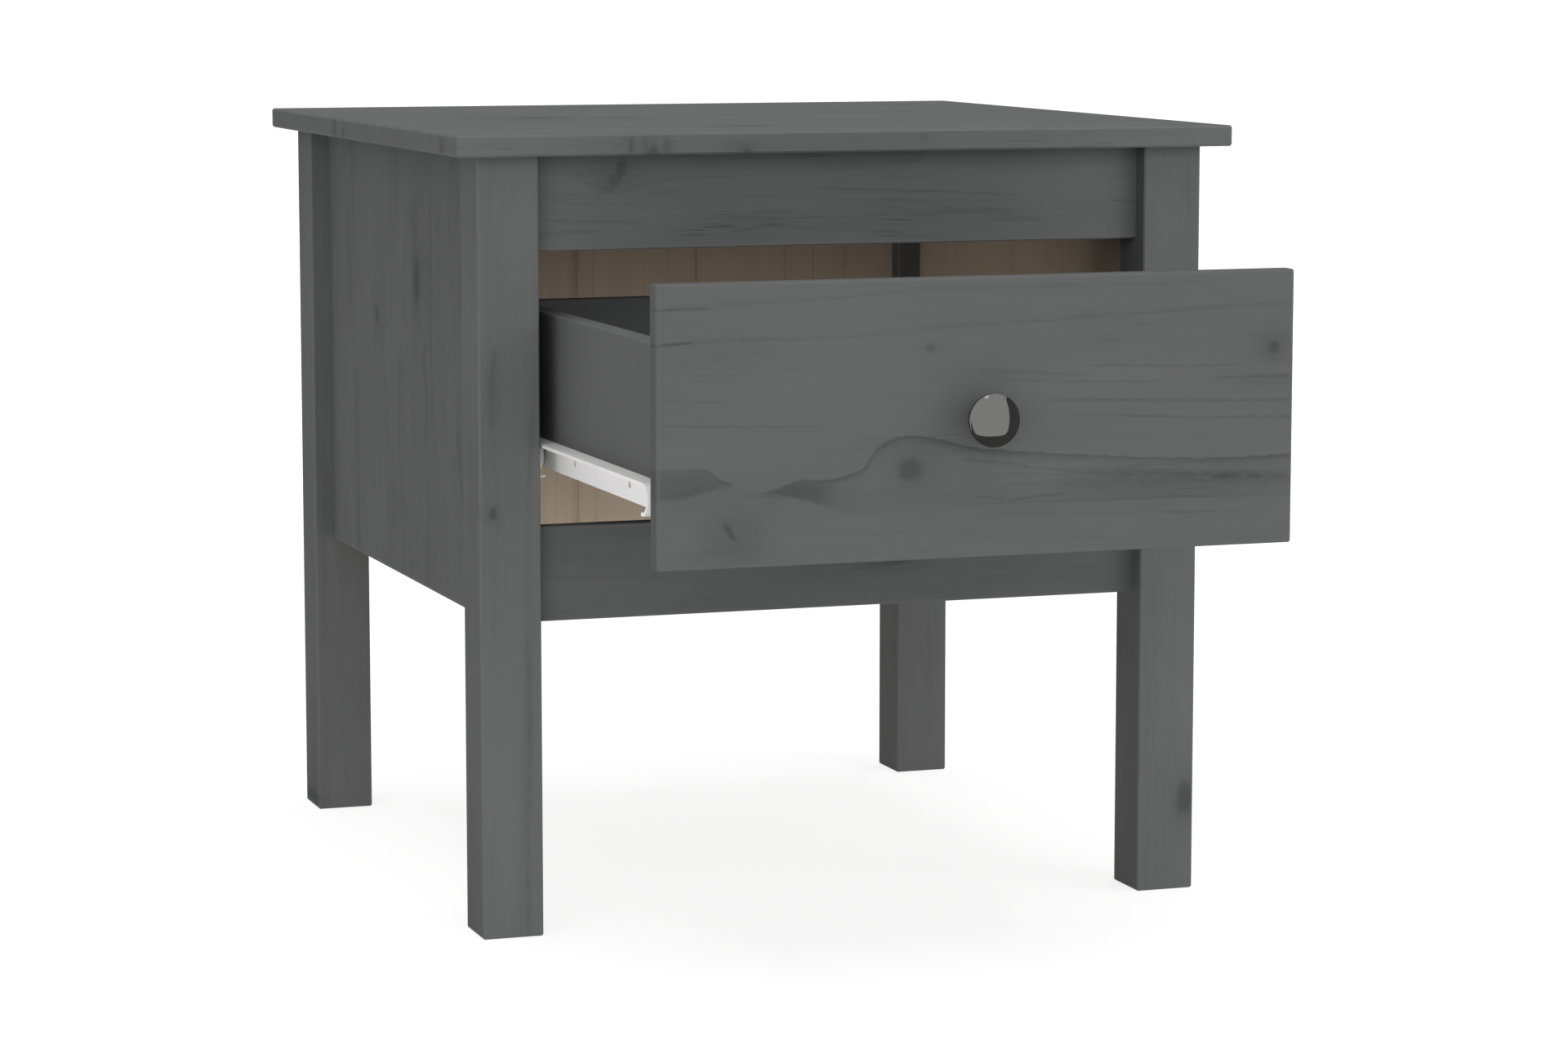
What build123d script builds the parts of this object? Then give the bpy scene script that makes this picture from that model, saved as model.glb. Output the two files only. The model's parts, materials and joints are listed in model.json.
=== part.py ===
"""Side table with one drawer, in solid pine: a top on four square legs, front rails, sunk side and
back panels, and a drawer on a pair of roller runners.

The frame is +Z up and +Y to the back, in millimetres, with the origin on the floor under the middle
of the top. The drawer stands pulled out by drawer_pull_out, and slides along Y.
"""

from build123d import *
from math import sqrt
import os

# ---- Top and legs -----------------------------------------------------------------------------
top_width = 500
top_depth = 500
top_thickness = 13
top_edge_ease = 1.2
side_overhang = 15.5
front_overhang = 14
back_overhang = 11
leg_height = 474
leg_width = 38
leg_depth = 38
leg_edge_ease = 1

# ---- Rails and panels -------------------------------------------------------------------------
case_clearance = 191.5
rail_height = 58
rail_thickness = 12
rail_recess = 13
side_panel_thickness = 9
side_panel_inset = 12.5
back_panel_thickness = 12
back_panel_inset = 13
groove_depth = 6
board_edge_ease = 0.8

# ---- Drawer -----------------------------------------------------------------------------------
drawer_pull_out = 236
drawer_spare_travel = 24
front_thickness = 12
front_side_gap = 3
front_height_gap = 3.5
front_edge_ease = 1
drawer_side_thickness = 12
drawer_side_height = 93
drawer_side_lift = 31.5
drawer_back_thickness = 12
drawer_bottom_thickness = 4
drawer_bottom_lift = 12
bottom_groove_depth = 5

# ---- Roller runners ---------------------------------------------------------------------------
runner_length = 350
runner_gap = 12.5
runner_steel = 1
drawer_runner_height = 17
lip_depth = 0.9
lip_clearance = 0.5
flange_clearance = 1.3
roller_radius = 8.2
roller_clearance = 0.3
channel_clearance = 0.65
roller_drop = 3
roller_side_clearance = 1.3
roller_width = 7.2
roller_end_distance = 10
roller_bore_clearance = 0.05
roller_recess = 1
roller_chamfer = 0.6
rivet_radius = 2.25
rivet_head_radius = 3.8
rivet_collar_radius = 3.6
curl_sweep = 195
stop_bump_radius = 3
runner_hole_radius = 2.3
runner_hole_height = 9
runner_hole_count = 3
case_runner_first_hole = 37
case_runner_hole_pitch = 128
drawer_runner_first_hole = 67
drawer_runner_hole_pitch = 110
emboss_depth = 0.4
emboss_width = 3
emboss_length = 16
emboss_start = 88

strip_height = 44

# ---- Knob -------------------------------------------------------------------------------------
knob_head_radius = 15.3
knob_projection = 24
knob_rim_height = 19
knob_neck_radius = 5.5
knob_neck_height = 6
knob_rim_thickness = 2.4
knob_base_radius = 8
knob_base_thickness = 1.6
knob_screw_radius = 2
knob_screw_bite = 11
knob_screw_head_radius = 4
knob_screw_head_height = 2.4

# ---- Dowels, cams and brackets ----------------------------------------------------------------
dowel_radius = 3
dowel_length = 30
dowel_leg_depth = 14
dowel_spread = 36
drawer_dowel_length = 25
drawer_dowel_depth = 8
cam_radius = 6
cam_thickness = 9
cam_setback = 24
cam_slot_width = 5.6
cam_bolt_radius = 2.5
cam_bolt_shank_radius = 2
cam_bolt_bite = 11
drawer_bolt_bite = 8
drawer_cam_heights = (30, 73)
bracket_leg = 20
bracket_width = 16
bracket_steel = 1.5
bracket_hole_distance = 12
bracket_hole_radius = 2.2
bracket_spacing = 240

# ---- Places worked out from the sizes ---------------------------------------------------------
outer_x = top_width / 2 - side_overhang
inner_x = outer_x - leg_width
leg_centre_x = outer_x - leg_width / 2
leg_front_y = -top_depth / 2 + front_overhang
leg_back_y = top_depth / 2 - back_overhang
front_leg_back_y = leg_front_y + leg_depth
back_leg_front_y = leg_back_y - leg_depth

rail_front_y = leg_front_y + rail_recess
rail_back_y = rail_front_y + rail_thickness
rail_middle_y = rail_front_y + rail_thickness / 2
lower_rail_z = case_clearance
upper_rail_z = leg_height - rail_height
panel_height = leg_height - case_clearance

side_panel_outer_x = outer_x - side_panel_inset
side_panel_inner_x = side_panel_outer_x - side_panel_thickness
side_panel_middle_x = side_panel_outer_x - side_panel_thickness / 2
back_panel_outer_y = leg_back_y - back_panel_inset
back_panel_middle_y = back_panel_outer_y - back_panel_thickness / 2

front_width = 2 * (inner_x - front_side_gap)
front_bottom_z = lower_rail_z + rail_height + front_height_gap
front_top_z = upper_rail_z - front_height_gap
front_height = front_top_z - front_bottom_z
front_middle_z = (front_bottom_z + front_top_z) / 2
front_face_y = rail_front_y - drawer_pull_out
box_front_y = front_face_y + front_thickness
box_back_y = box_front_y + runner_length
side_outer_x = inner_x - runner_gap
side_inner_x = side_outer_x - drawer_side_thickness
side_middle_x = side_outer_x - drawer_side_thickness / 2
side_bottom_z = front_bottom_z + drawer_side_lift
side_top_z = side_bottom_z + drawer_side_height
bottom_z = side_bottom_z + drawer_bottom_lift
bottom_top_z = bottom_z + drawer_bottom_thickness
back_board_front_y = box_back_y - drawer_back_thickness

runner_front_y = rail_front_y + front_thickness
drawer_runner_bottom_z = side_bottom_z - runner_steel
drawer_runner_top_z = drawer_runner_bottom_z + drawer_runner_height
flange_under_z = drawer_runner_top_z - runner_steel
drawer_web_x = side_outer_x + runner_steel
cabinet_web_x = inner_x - runner_steel
lip_outer_x = cabinet_web_x - lip_clearance
lip_inner_x = lip_outer_x - runner_steel
roller_inner_x = drawer_web_x + roller_side_clearance
roller_outer_x = roller_inner_x + roller_width
case_roller_z = flange_under_z - roller_clearance - roller_radius
case_roller_y = runner_front_y + roller_end_distance
drawer_roller_z = case_roller_z - roller_drop
drawer_roller_y = box_back_y - roller_end_distance
channel_floor_z = drawer_roller_z - roller_radius - channel_clearance
channel_roof_z = drawer_roller_z + roller_radius + channel_clearance
flange_tip_x = drawer_web_x + flange_clearance
curl_y = box_front_y + roller_end_distance
curl_radius = flange_under_z - case_roller_z
bump_reach = sqrt((roller_radius + stop_bump_radius) ** 2 - (roller_radius + channel_clearance) ** 2)
roller_stop_y = drawer_roller_y - drawer_spare_travel
stop_bump_y = roller_stop_y - bump_reach - roller_clearance
runner_hole_z = drawer_runner_bottom_z + runner_hole_height

panel_middle_y = (front_leg_back_y + back_leg_front_y) / 2
panel_gap_depth = back_leg_front_y - front_leg_back_y
strip_middle_z = (channel_floor_z + channel_roof_z) / 2
strip_thickness = side_panel_inner_x - inner_x
drawer_cam_levels = [side_bottom_z + height for height in drawer_cam_heights]
drawer_dowel_level = sum(drawer_cam_levels) / len(drawer_cam_levels)

MIN_Z = (Align.CENTER, Align.CENTER, Align.MIN)
MAX_Z = (Align.CENTER, Align.CENTER, Align.MAX)
LEFT, RIGHT = -1, 1
sides = {"left": LEFT, "right": RIGHT}


def face_plane(x, y, z, outward):
    """A plane on a face, at a point of it, whose normal points out of the face."""
    return Plane(origin=(x, y, z), z_dir=outward)


def round_holes(places, radius, depth):
    """Round holes, cut along -Z from each plane into the part in hand."""
    with Locations(*places):
        Cylinder(radius, depth, align=MAX_Z, mode=Mode.SUBTRACT)


# ---- Where each fastener goes -----------------------------------------------------------------
rail_levels = (lower_rail_z + rail_height / 2, upper_rail_z + rail_height / 2)
dowel_rises = (-dowel_spread / 2, dowel_spread / 2)


def rail_end_planes(side, offsets):
    """Planes on a leg's inner face, at each rail's mid thickness, that face the rail's end."""
    return [
        face_plane(side * inner_x, rail_middle_y, level + rise, (-side, 0, 0))
        for level in rail_levels
        for rise in offsets
    ]


def bracket_frames():
    """One plane per top bracket: its X points in from the wall and its Y points up."""
    half = bracket_spacing / 2
    return [
        Plane(
            origin=(side * side_panel_inner_x, panel_middle_y + step, leg_height),
            x_dir=(-side, 0, 0),
            z_dir=(0, side, 0),
        )
        for side in sides.values()
        for step in (-half, half)
    ]


def case_runner_hole_planes(side):
    """Planes inside a case runner's channel, on its web, that face the drawer."""
    first_y = runner_front_y + case_runner_first_hole
    hole_ys = [first_y + step * case_runner_hole_pitch for step in range(runner_hole_count)]
    return [face_plane(side * cabinet_web_x, y, strip_middle_z, (-side, 0, 0)) for y in hole_ys]


def drawer_runner_hole_planes(side):
    """Planes on a drawer runner's web that face the case."""
    first_y = box_front_y + drawer_runner_first_hole
    hole_ys = [first_y + step * drawer_runner_hole_pitch for step in range(runner_hole_count)]
    return [face_plane(side * drawer_web_x, y, runner_hole_z, (side, 0, 0)) for y in hole_ys]


def drawer_joint_planes(side, levels):
    """Planes on the back of the drawer front, at a drawer side's mid thickness."""
    return [face_plane(side * side_middle_x, box_front_y, z, (0, 1, 0)) for z in levels]


# ---- Top --------------------------------------------------------------------------------------
with BuildPart() as table_top:
    with BuildSketch(Plane.XY.offset(leg_height)):
        Rectangle(top_width, top_depth)
    extrude(amount=top_thickness)
    chamfer(table_top.edges(), top_edge_ease)

# ---- Legs: grooved for the panels, drilled for the rails --------------------------------------
legs = {}
for side_name, side in sides.items():
    for end_name in ("front", "back"):
        is_front = end_name == "front"
        leg_y = (leg_front_y if is_front else back_leg_front_y) + leg_depth / 2
        joint_y = front_leg_back_y if is_front else back_leg_front_y
        with BuildPart() as leg:
            with BuildSketch():
                with Locations((side * leg_centre_x, leg_y)):
                    Rectangle(leg_width, leg_depth)
            extrude(amount=leg_height)
            chamfer(leg.edges().filter_by(Axis.Z) + leg.edges().group_by(Axis.Z)[0], leg_edge_ease)
            with Locations((side * side_panel_middle_x, joint_y, case_clearance)):
                Box(side_panel_thickness, 2 * groove_depth, panel_height, align=MIN_Z, mode=Mode.SUBTRACT)
            if is_front:
                round_holes(rail_end_planes(side, dowel_rises), dowel_radius, dowel_leg_depth)
                round_holes(rail_end_planes(side, (0,)), cam_bolt_radius, cam_bolt_bite)
            else:
                with Locations((side * inner_x, back_panel_middle_y, case_clearance)):
                    Box(2 * groove_depth, back_panel_thickness, panel_height, align=MIN_Z, mode=Mode.SUBTRACT)
        legs[f"leg_{end_name}_{side_name}"] = leg

# ---- Front rails: doweled to the legs and pulled up with cams ---------------------------------
rails = {}
for rail_name, rail_z in (("lower_front_rail", lower_rail_z), ("upper_front_rail", upper_rail_z)):
    rail_level = rail_z + rail_height / 2
    with BuildPart() as rail:
        with Locations((0, rail_middle_y, rail_z)):
            Box(2 * inner_x, rail_thickness, rail_height, align=MIN_Z)
        chamfer(rail.edges().filter_by(Axis.X), board_edge_ease)
        for side in sides.values():
            for rise in dowel_rises:
                dowel_end = face_plane(side * inner_x, rail_middle_y, rail_level + rise, (side, 0, 0))
                round_holes([dowel_end], dowel_radius, dowel_length - dowel_leg_depth)
            bolt_end = face_plane(side * inner_x, rail_middle_y, rail_level, (side, 0, 0))
            cam_seat = face_plane(side * (inner_x - cam_setback), rail_back_y, rail_level, (0, 1, 0))
            round_holes([bolt_end], cam_bolt_radius, cam_setback)
            round_holes([cam_seat], cam_radius, cam_thickness)
    rails[rail_name] = rail

# ---- Side and back panels: their ends sit in the legs' grooves --------------------------------
with BuildPart() as side_panel_right:
    with Locations((side_panel_middle_x, panel_middle_y, case_clearance)):
        Box(side_panel_thickness, panel_gap_depth + 2 * groove_depth, panel_height, align=MIN_Z)

with BuildPart() as side_panel_left:
    mirror(side_panel_right.part, about=Plane.YZ)

with BuildPart() as back_panel:
    with Locations((0, back_panel_middle_y, case_clearance)):
        Box(2 * (inner_x + groove_depth), back_panel_thickness, panel_height, align=MIN_Z)

# ---- Runner strips: packing between the panels and the case runners ---------------------------
with BuildPart() as runner_strip_right:
    with Locations(((inner_x + side_panel_inner_x) / 2, panel_middle_y, strip_middle_z)):
        Box(strip_thickness, panel_gap_depth, strip_height)
    chamfer(runner_strip_right.edges().group_by(Axis.X)[0].filter_by(Axis.Y), board_edge_ease)

with BuildPart() as runner_strip_left:
    mirror(runner_strip_right.part, about=Plane.YZ)

# ---- Case runner: a rolled channel, open above its front roller -------------------------------
with BuildPart() as case_runner_right:
    with BuildSketch(Plane(origin=(0, runner_front_y, 0), x_dir=(1, 0, 0), z_dir=(0, -1, 0))):
        with BuildLine():
            Polyline(
                (flange_tip_x, channel_floor_z - runner_steel),
                (inner_x, channel_floor_z - runner_steel),
                (inner_x, channel_roof_z + runner_steel),
                (flange_tip_x, channel_roof_z + runner_steel),
                (flange_tip_x, channel_roof_z),
                (cabinet_web_x, channel_roof_z),
                (cabinet_web_x, channel_floor_z),
                (flange_tip_x, channel_floor_z),
                close=True,
            )
        make_face()
    extrude(amount=-runner_length)
    with Locations(((flange_tip_x + cabinet_web_x) / 2, runner_front_y, channel_roof_z)):
        roller_window = 2 * (roller_end_distance + roller_radius + roller_drop)
        Box(cabinet_web_x - flange_tip_x, roller_window, 2 * runner_steel, align=MIN_Z, mode=Mode.SUBTRACT)
    with BuildSketch(Plane.YZ.offset(flange_tip_x)):
        with Locations((stop_bump_y, channel_floor_z)):
            Circle(stop_bump_radius)
            Rectangle(
                2 * stop_bump_radius,
                2 * stop_bump_radius,
                align=(Align.CENTER, Align.MAX),
                mode=Mode.SUBTRACT,
            )
    extrude(amount=cabinet_web_x - flange_tip_x)
    round_holes(case_runner_hole_planes(RIGHT), runner_hole_radius, runner_steel)
    round_holes([face_plane(inner_x, case_roller_y, case_roller_z, (1, 0, 0))], rivet_radius, runner_steel)

with BuildPart() as case_runner_left:
    mirror(case_runner_right.part, about=Plane.YZ)

# ---- Drawer runner: seat flange, web, running flange with a lip, and the closing curl ---------
with BuildPart() as drawer_runner_right:
    with BuildSketch(Plane(origin=(0, box_back_y, 0), x_dir=(1, 0, 0), z_dir=(0, -1, 0))):
        with BuildLine():
            Polyline(
                (side_inner_x, drawer_runner_bottom_z),
                (drawer_web_x, drawer_runner_bottom_z),
                (drawer_web_x, flange_under_z),
                (side_outer_x, flange_under_z),
                (side_outer_x, side_bottom_z),
                (side_inner_x, side_bottom_z),
                close=True,
            )
        make_face()
    extrude(amount=runner_length)
    with BuildSketch(Plane(origin=(0, box_back_y, 0), x_dir=(1, 0, 0), z_dir=(0, -1, 0))):
        with BuildLine():
            Polyline(
                (side_outer_x, flange_under_z),
                (lip_inner_x, flange_under_z),
                (lip_inner_x, flange_under_z - lip_depth),
                (lip_outer_x, flange_under_z - lip_depth),
                (lip_outer_x, drawer_runner_top_z),
                (side_outer_x, drawer_runner_top_z),
                close=True,
            )
        make_face()
    extrude(amount=runner_length - roller_end_distance)
    with BuildSketch(Plane.YZ.offset(side_outer_x)):
        with BuildLine():
            outer_curl = CenterArc((curl_y, case_roller_z), curl_radius + runner_steel, 90, curl_sweep)
            inner_curl = CenterArc((curl_y, case_roller_z), curl_radius, 90, curl_sweep)
            Line(outer_curl @ 0, inner_curl @ 0)
            Line(outer_curl @ 1, inner_curl @ 1)
        make_face()
    extrude(amount=lip_outer_x - side_outer_x)
    with BuildSketch(Plane.YZ.offset(lip_inner_x)):
        with BuildLine():
            outer_lip = CenterArc((curl_y, case_roller_z), curl_radius, 90, curl_sweep)
            inner_lip = CenterArc((curl_y, case_roller_z), curl_radius - lip_depth, 90, curl_sweep)
            Line(outer_lip @ 0, inner_lip @ 0)
            Line(outer_lip @ 1, inner_lip @ 1)
        make_face()
    extrude(amount=runner_steel)
    with BuildSketch(Plane.YZ.offset(side_outer_x)):
        with Locations((box_front_y, flange_under_z)):
            Rectangle(roller_end_distance, runner_steel, align=(Align.MIN, Align.MIN))
    extrude(amount=runner_steel)
    rivet_seat = face_plane(drawer_web_x, drawer_roller_y, drawer_roller_z, (1, 0, 0))
    round_holes(drawer_runner_hole_planes(RIGHT), runner_hole_radius, runner_steel)
    round_holes([rivet_seat], rivet_radius, runner_steel)
    with BuildSketch(Plane.YZ.offset(drawer_web_x)):
        with Locations((box_front_y + emboss_start + emboss_length / 2, flange_under_z - emboss_width)):
            SlotOverall(emboss_length, emboss_width)
    extrude(amount=-emboss_depth, mode=Mode.SUBTRACT)

with BuildPart() as drawer_runner_left:
    mirror(drawer_runner_right.part, about=Plane.YZ)

# ---- Nylon rollers, each turning on a rivet ---------------------------------------------------
rollers = {}
for roller_name, roller_y, roller_z, recess_x, recess_way in (
    ("case_roller", case_roller_y, case_roller_z, roller_inner_x, 1),
    ("drawer_roller", drawer_roller_y, drawer_roller_z, roller_outer_x, -1),
):
    with BuildPart() as roller_right:
        with BuildSketch(Plane.YZ.offset(roller_inner_x)):
            with Locations((roller_y, roller_z)):
                Circle(roller_radius)
                Circle(rivet_radius + roller_bore_clearance, mode=Mode.SUBTRACT)
        extrude(amount=roller_width)
        rims = roller_right.edges().filter_by(GeomType.CIRCLE).group_by(SortBy.RADIUS)[-1]
        chamfer(rims, roller_chamfer)
        with BuildSketch(Plane.YZ.offset(recess_x)):
            with Locations((roller_y, roller_z)):
                Circle(rivet_head_radius + roller_clearance)
        extrude(amount=recess_way * roller_recess, mode=Mode.SUBTRACT)
    with BuildPart() as roller_left:
        mirror(roller_right.part, about=Plane.YZ)
    rollers[f"{roller_name}_right"] = roller_right
    rollers[f"{roller_name}_left"] = roller_left

rivets = {}
head_thickness = roller_recess - roller_side_clearance / 10
for rivet_name, rivet_y, rivet_z, web_x, far_x, head_x, way in (
    ("case_rivets", case_roller_y, case_roller_z, inner_x, roller_outer_x, roller_inner_x, -1),
    ("drawer_rivets", drawer_roller_y, drawer_roller_z, side_outer_x, roller_inner_x, roller_outer_x, 1),
):
    collar_x = web_x + way * runner_steel
    with BuildPart() as rivet_pair:
        with BuildSketch(Plane.YZ.offset(web_x)):
            with Locations((rivet_y, rivet_z)):
                Circle(rivet_radius)
        extrude(amount=head_x - web_x)
        with BuildSketch(Plane.YZ.offset(collar_x)):
            with Locations((rivet_y, rivet_z)):
                Circle(rivet_collar_radius)
        extrude(amount=far_x - collar_x - way * roller_side_clearance / 10)
        with BuildSketch(Plane.YZ.offset(head_x)):
            with Locations((rivet_y, rivet_z)):
                Circle(rivet_head_radius)
        extrude(amount=-way * head_thickness)
        mirror(about=Plane.YZ)
    rivets[rivet_name] = rivet_pair

# ---- Drawer box -------------------------------------------------------------------------------
with BuildPart() as drawer_front:
    with Locations((0, front_face_y + front_thickness / 2, front_middle_z)):
        Box(front_width, front_thickness, front_height)
    chamfer(drawer_front.edges(), front_edge_ease)
    with Locations((0, box_front_y, bottom_z)):
        Box(
            2 * (side_inner_x + bottom_groove_depth),
            2 * bottom_groove_depth,
            drawer_bottom_thickness,
            align=MIN_Z,
            mode=Mode.SUBTRACT,
        )
    for side in sides.values():
        round_holes(drawer_joint_planes(side, [drawer_dowel_level]), dowel_radius, drawer_dowel_depth)
        round_holes(drawer_joint_planes(side, drawer_cam_levels), cam_bolt_radius, drawer_bolt_bite)
    round_holes([face_plane(0, box_front_y, front_middle_z, (0, 1, 0))], knob_screw_radius, front_thickness)

with BuildPart() as drawer_side_right:
    with Locations((side_middle_x, (box_front_y + box_back_y) / 2, side_bottom_z)):
        Box(drawer_side_thickness, runner_length, drawer_side_height, align=MIN_Z)
    chamfer(drawer_side_right.edges().filter_by(Axis.Y).group_by(Axis.Z)[-1], board_edge_ease)
    with Locations((side_inner_x, (box_front_y + box_back_y) / 2, bottom_z)):
        Box(2 * bottom_groove_depth, runner_length, drawer_bottom_thickness, align=MIN_Z, mode=Mode.SUBTRACT)
    dowel_end = face_plane(side_middle_x, box_front_y, drawer_dowel_level, (0, -1, 0))
    round_holes([dowel_end], dowel_radius, drawer_dowel_length - drawer_dowel_depth)
    for cam_level in drawer_cam_levels:
        bolt_end = face_plane(side_middle_x, box_front_y, cam_level, (0, -1, 0))
        cam_seat = face_plane(side_inner_x, box_front_y + cam_setback, cam_level, (-1, 0, 0))
        round_holes([bolt_end], cam_bolt_radius, cam_setback)
        round_holes([cam_seat], cam_radius, cam_thickness)

with BuildPart() as drawer_side_left:
    mirror(drawer_side_right.part, about=Plane.YZ)

with BuildPart() as drawer_back:
    with Locations((0, back_board_front_y + drawer_back_thickness / 2, bottom_top_z)):
        Box(2 * side_inner_x, drawer_back_thickness, side_top_z - bottom_top_z, align=MIN_Z)
    chamfer(drawer_back.edges().filter_by(Axis.X).group_by(Axis.Z)[-1], board_edge_ease)

with BuildPart() as drawer_bottom:
    bottom_length = box_back_y - box_front_y + bottom_groove_depth
    with Locations((0, box_back_y - bottom_length / 2, bottom_z)):
        Box(2 * (side_inner_x + bottom_groove_depth), bottom_length, drawer_bottom_thickness, align=MIN_Z)

# ---- Knob: a turned metal mushroom, pulled on by a screw from inside the drawer ---------------
knob_plane = Plane(origin=(0, front_face_y, front_middle_z), x_dir=(1, 0, 0), z_dir=(0, 0, -1))
knob_axis = Axis((0, front_face_y, front_middle_z), (0, -1, 0))

with BuildPart() as knob:
    with BuildSketch(knob_plane):
        with BuildLine():
            base_top = (knob_base_radius, knob_base_thickness)
            neck = (knob_neck_radius, knob_neck_height)
            underside = (knob_head_radius, knob_rim_height - knob_rim_thickness)
            rim = (knob_head_radius, knob_rim_height)
            crown = (0, knob_projection)
            Line((0, 0), (knob_base_radius, 0))
            Line((knob_base_radius, 0), base_top)
            Line(base_top, neck)
            TangentArc(neck, underside, tangent=(0, 1))
            Line(underside, rim)
            TangentArc(crown, rim, tangent=(1, 0))
            Line(crown, (0, 0))
        make_face()
    revolve(axis=knob_axis)
    round_holes([face_plane(0, front_face_y, front_middle_z, (0, 1, 0))], knob_screw_radius, knob_screw_bite)

with BuildPart() as knob_screw:
    with Locations(face_plane(0, box_front_y, front_middle_z, (0, 1, 0))):
        Cylinder(knob_screw_radius, front_thickness + knob_screw_bite, align=MAX_Z)
        Cylinder(knob_screw_head_radius, knob_screw_head_height, align=MIN_Z)
    chamfer(knob_screw.faces().sort_by(Axis.Y)[-1].edges(), knob_screw_head_height / 3)

# ---- Dowels, cams and bolts -------------------------------------------------------------------
with BuildPart() as rail_dowels:
    for side in sides.values():
        for plane in rail_end_planes(side, dowel_rises):
            with Locations(plane.offset(-dowel_leg_depth)):
                Cylinder(dowel_radius, dowel_length, align=MIN_Z)

with BuildPart() as rail_cam_bolts:
    for side in sides.values():
        for plane in rail_end_planes(side, (0,)):
            with Locations(plane.offset(-cam_bolt_bite)):
                Cylinder(cam_bolt_radius, cam_bolt_bite, align=MIN_Z)
                Cylinder(cam_bolt_shank_radius, cam_bolt_bite + cam_setback, align=MIN_Z)

with BuildPart() as rail_cams:
    for side in sides.values():
        for level in rail_levels:
            cam_face = face_plane(side * (inner_x - cam_setback), rail_back_y, level, (0, 1, 0))
            with Locations(cam_face):
                Cylinder(cam_radius, cam_thickness, align=MAX_Z)
            with Locations((side * (inner_x - cam_setback), rail_middle_y, level)):
                Box(2 * cam_radius, cam_slot_width, cam_slot_width, mode=Mode.SUBTRACT)

with BuildPart() as drawer_dowels:
    for side in sides.values():
        for plane in drawer_joint_planes(side, [drawer_dowel_level]):
            with Locations(plane.offset(-drawer_dowel_depth)):
                Cylinder(dowel_radius, drawer_dowel_length, align=MIN_Z)

with BuildPart() as drawer_cam_bolts:
    for side in sides.values():
        for plane in drawer_joint_planes(side, drawer_cam_levels):
            with Locations(plane.offset(-drawer_bolt_bite)):
                Cylinder(cam_bolt_radius, drawer_bolt_bite, align=MIN_Z)
                Cylinder(cam_bolt_shank_radius, drawer_bolt_bite + cam_setback, align=MIN_Z)

with BuildPart() as drawer_cams:
    for side in sides.values():
        for level in drawer_cam_levels:
            cam_face = face_plane(side * side_inner_x, box_front_y + cam_setback, level, (-side, 0, 0))
            with Locations(cam_face):
                Cylinder(cam_radius, cam_thickness, align=MAX_Z)
            with Locations((side * side_middle_x, box_front_y + cam_setback, level)):
                Box(cam_slot_width, 2 * cam_radius, cam_slot_width, mode=Mode.SUBTRACT)

# ---- Steel brackets that hold the top ---------------------------------------------------------
with BuildPart() as top_brackets:
    for frame in bracket_frames():
        with BuildSketch(frame):
            with BuildLine():
                Polyline(
                    (0, 0),
                    (bracket_leg, 0),
                    (bracket_leg, -bracket_steel),
                    (bracket_steel, -bracket_steel),
                    (bracket_steel, -bracket_leg),
                    (0, -bracket_leg),
                    close=True,
                )
            make_face()
        extrude(amount=bracket_width / 2, both=True)
        top_hole = frame.from_local_coords((bracket_hole_distance, -bracket_steel, 0))
        wall_hole = frame.from_local_coords((bracket_steel, -bracket_hole_distance, 0))
        hole_planes = [face_plane(*top_hole, (0, 0, -1)), face_plane(*wall_hole, frame.x_dir)]
        round_holes(hole_planes, bracket_hole_radius, bracket_steel)

# ---- Every piece, by the name of its node -----------------------------------------------------
pieces = {
    "table_top": table_top,
    **legs,
    **rails,
    "side_panel_left": side_panel_left,
    "side_panel_right": side_panel_right,
    "back_panel": back_panel,
    "runner_strip_left": runner_strip_left,
    "runner_strip_right": runner_strip_right,
    "case_runner_left": case_runner_left,
    "case_runner_right": case_runner_right,
    "drawer_runner_left": drawer_runner_left,
    "drawer_runner_right": drawer_runner_right,
    **rollers,
    **rivets,
    "drawer_front": drawer_front,
    "drawer_side_left": drawer_side_left,
    "drawer_side_right": drawer_side_right,
    "drawer_back": drawer_back,
    "drawer_bottom": drawer_bottom,
    "knob": knob,
    "knob_screw": knob_screw,
    "rail_dowels": rail_dowels,
    "rail_cam_bolts": rail_cam_bolts,
    "rail_cams": rail_cams,
    "drawer_dowels": drawer_dowels,
    "drawer_cam_bolts": drawer_cam_bolts,
    "drawer_cams": drawer_cams,
    "top_brackets": top_brackets,
}

os.makedirs("parts", exist_ok=True)
for name, piece in pieces.items():
    piece.part.label = name
    export_step(piece.part, f"parts/{name}.step")
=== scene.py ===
"""Looks of the side table: grey stained pine, white roller runners and a turned metal knob.

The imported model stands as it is. Each wooden board keeps its solid and gets a pine finish of its
own, whose growth rings, knots and glue joints run through the board. The knob is turned anew as a
smooth piece, and Geometry Nodes set the small screws that the solids leave out.
"""

from __future__ import annotations

import json
import logging
import math
from dataclasses import dataclass, field, replace
from enum import Enum
from functools import reduce
from types import SimpleNamespace
from typing import Iterable, Sequence

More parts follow.
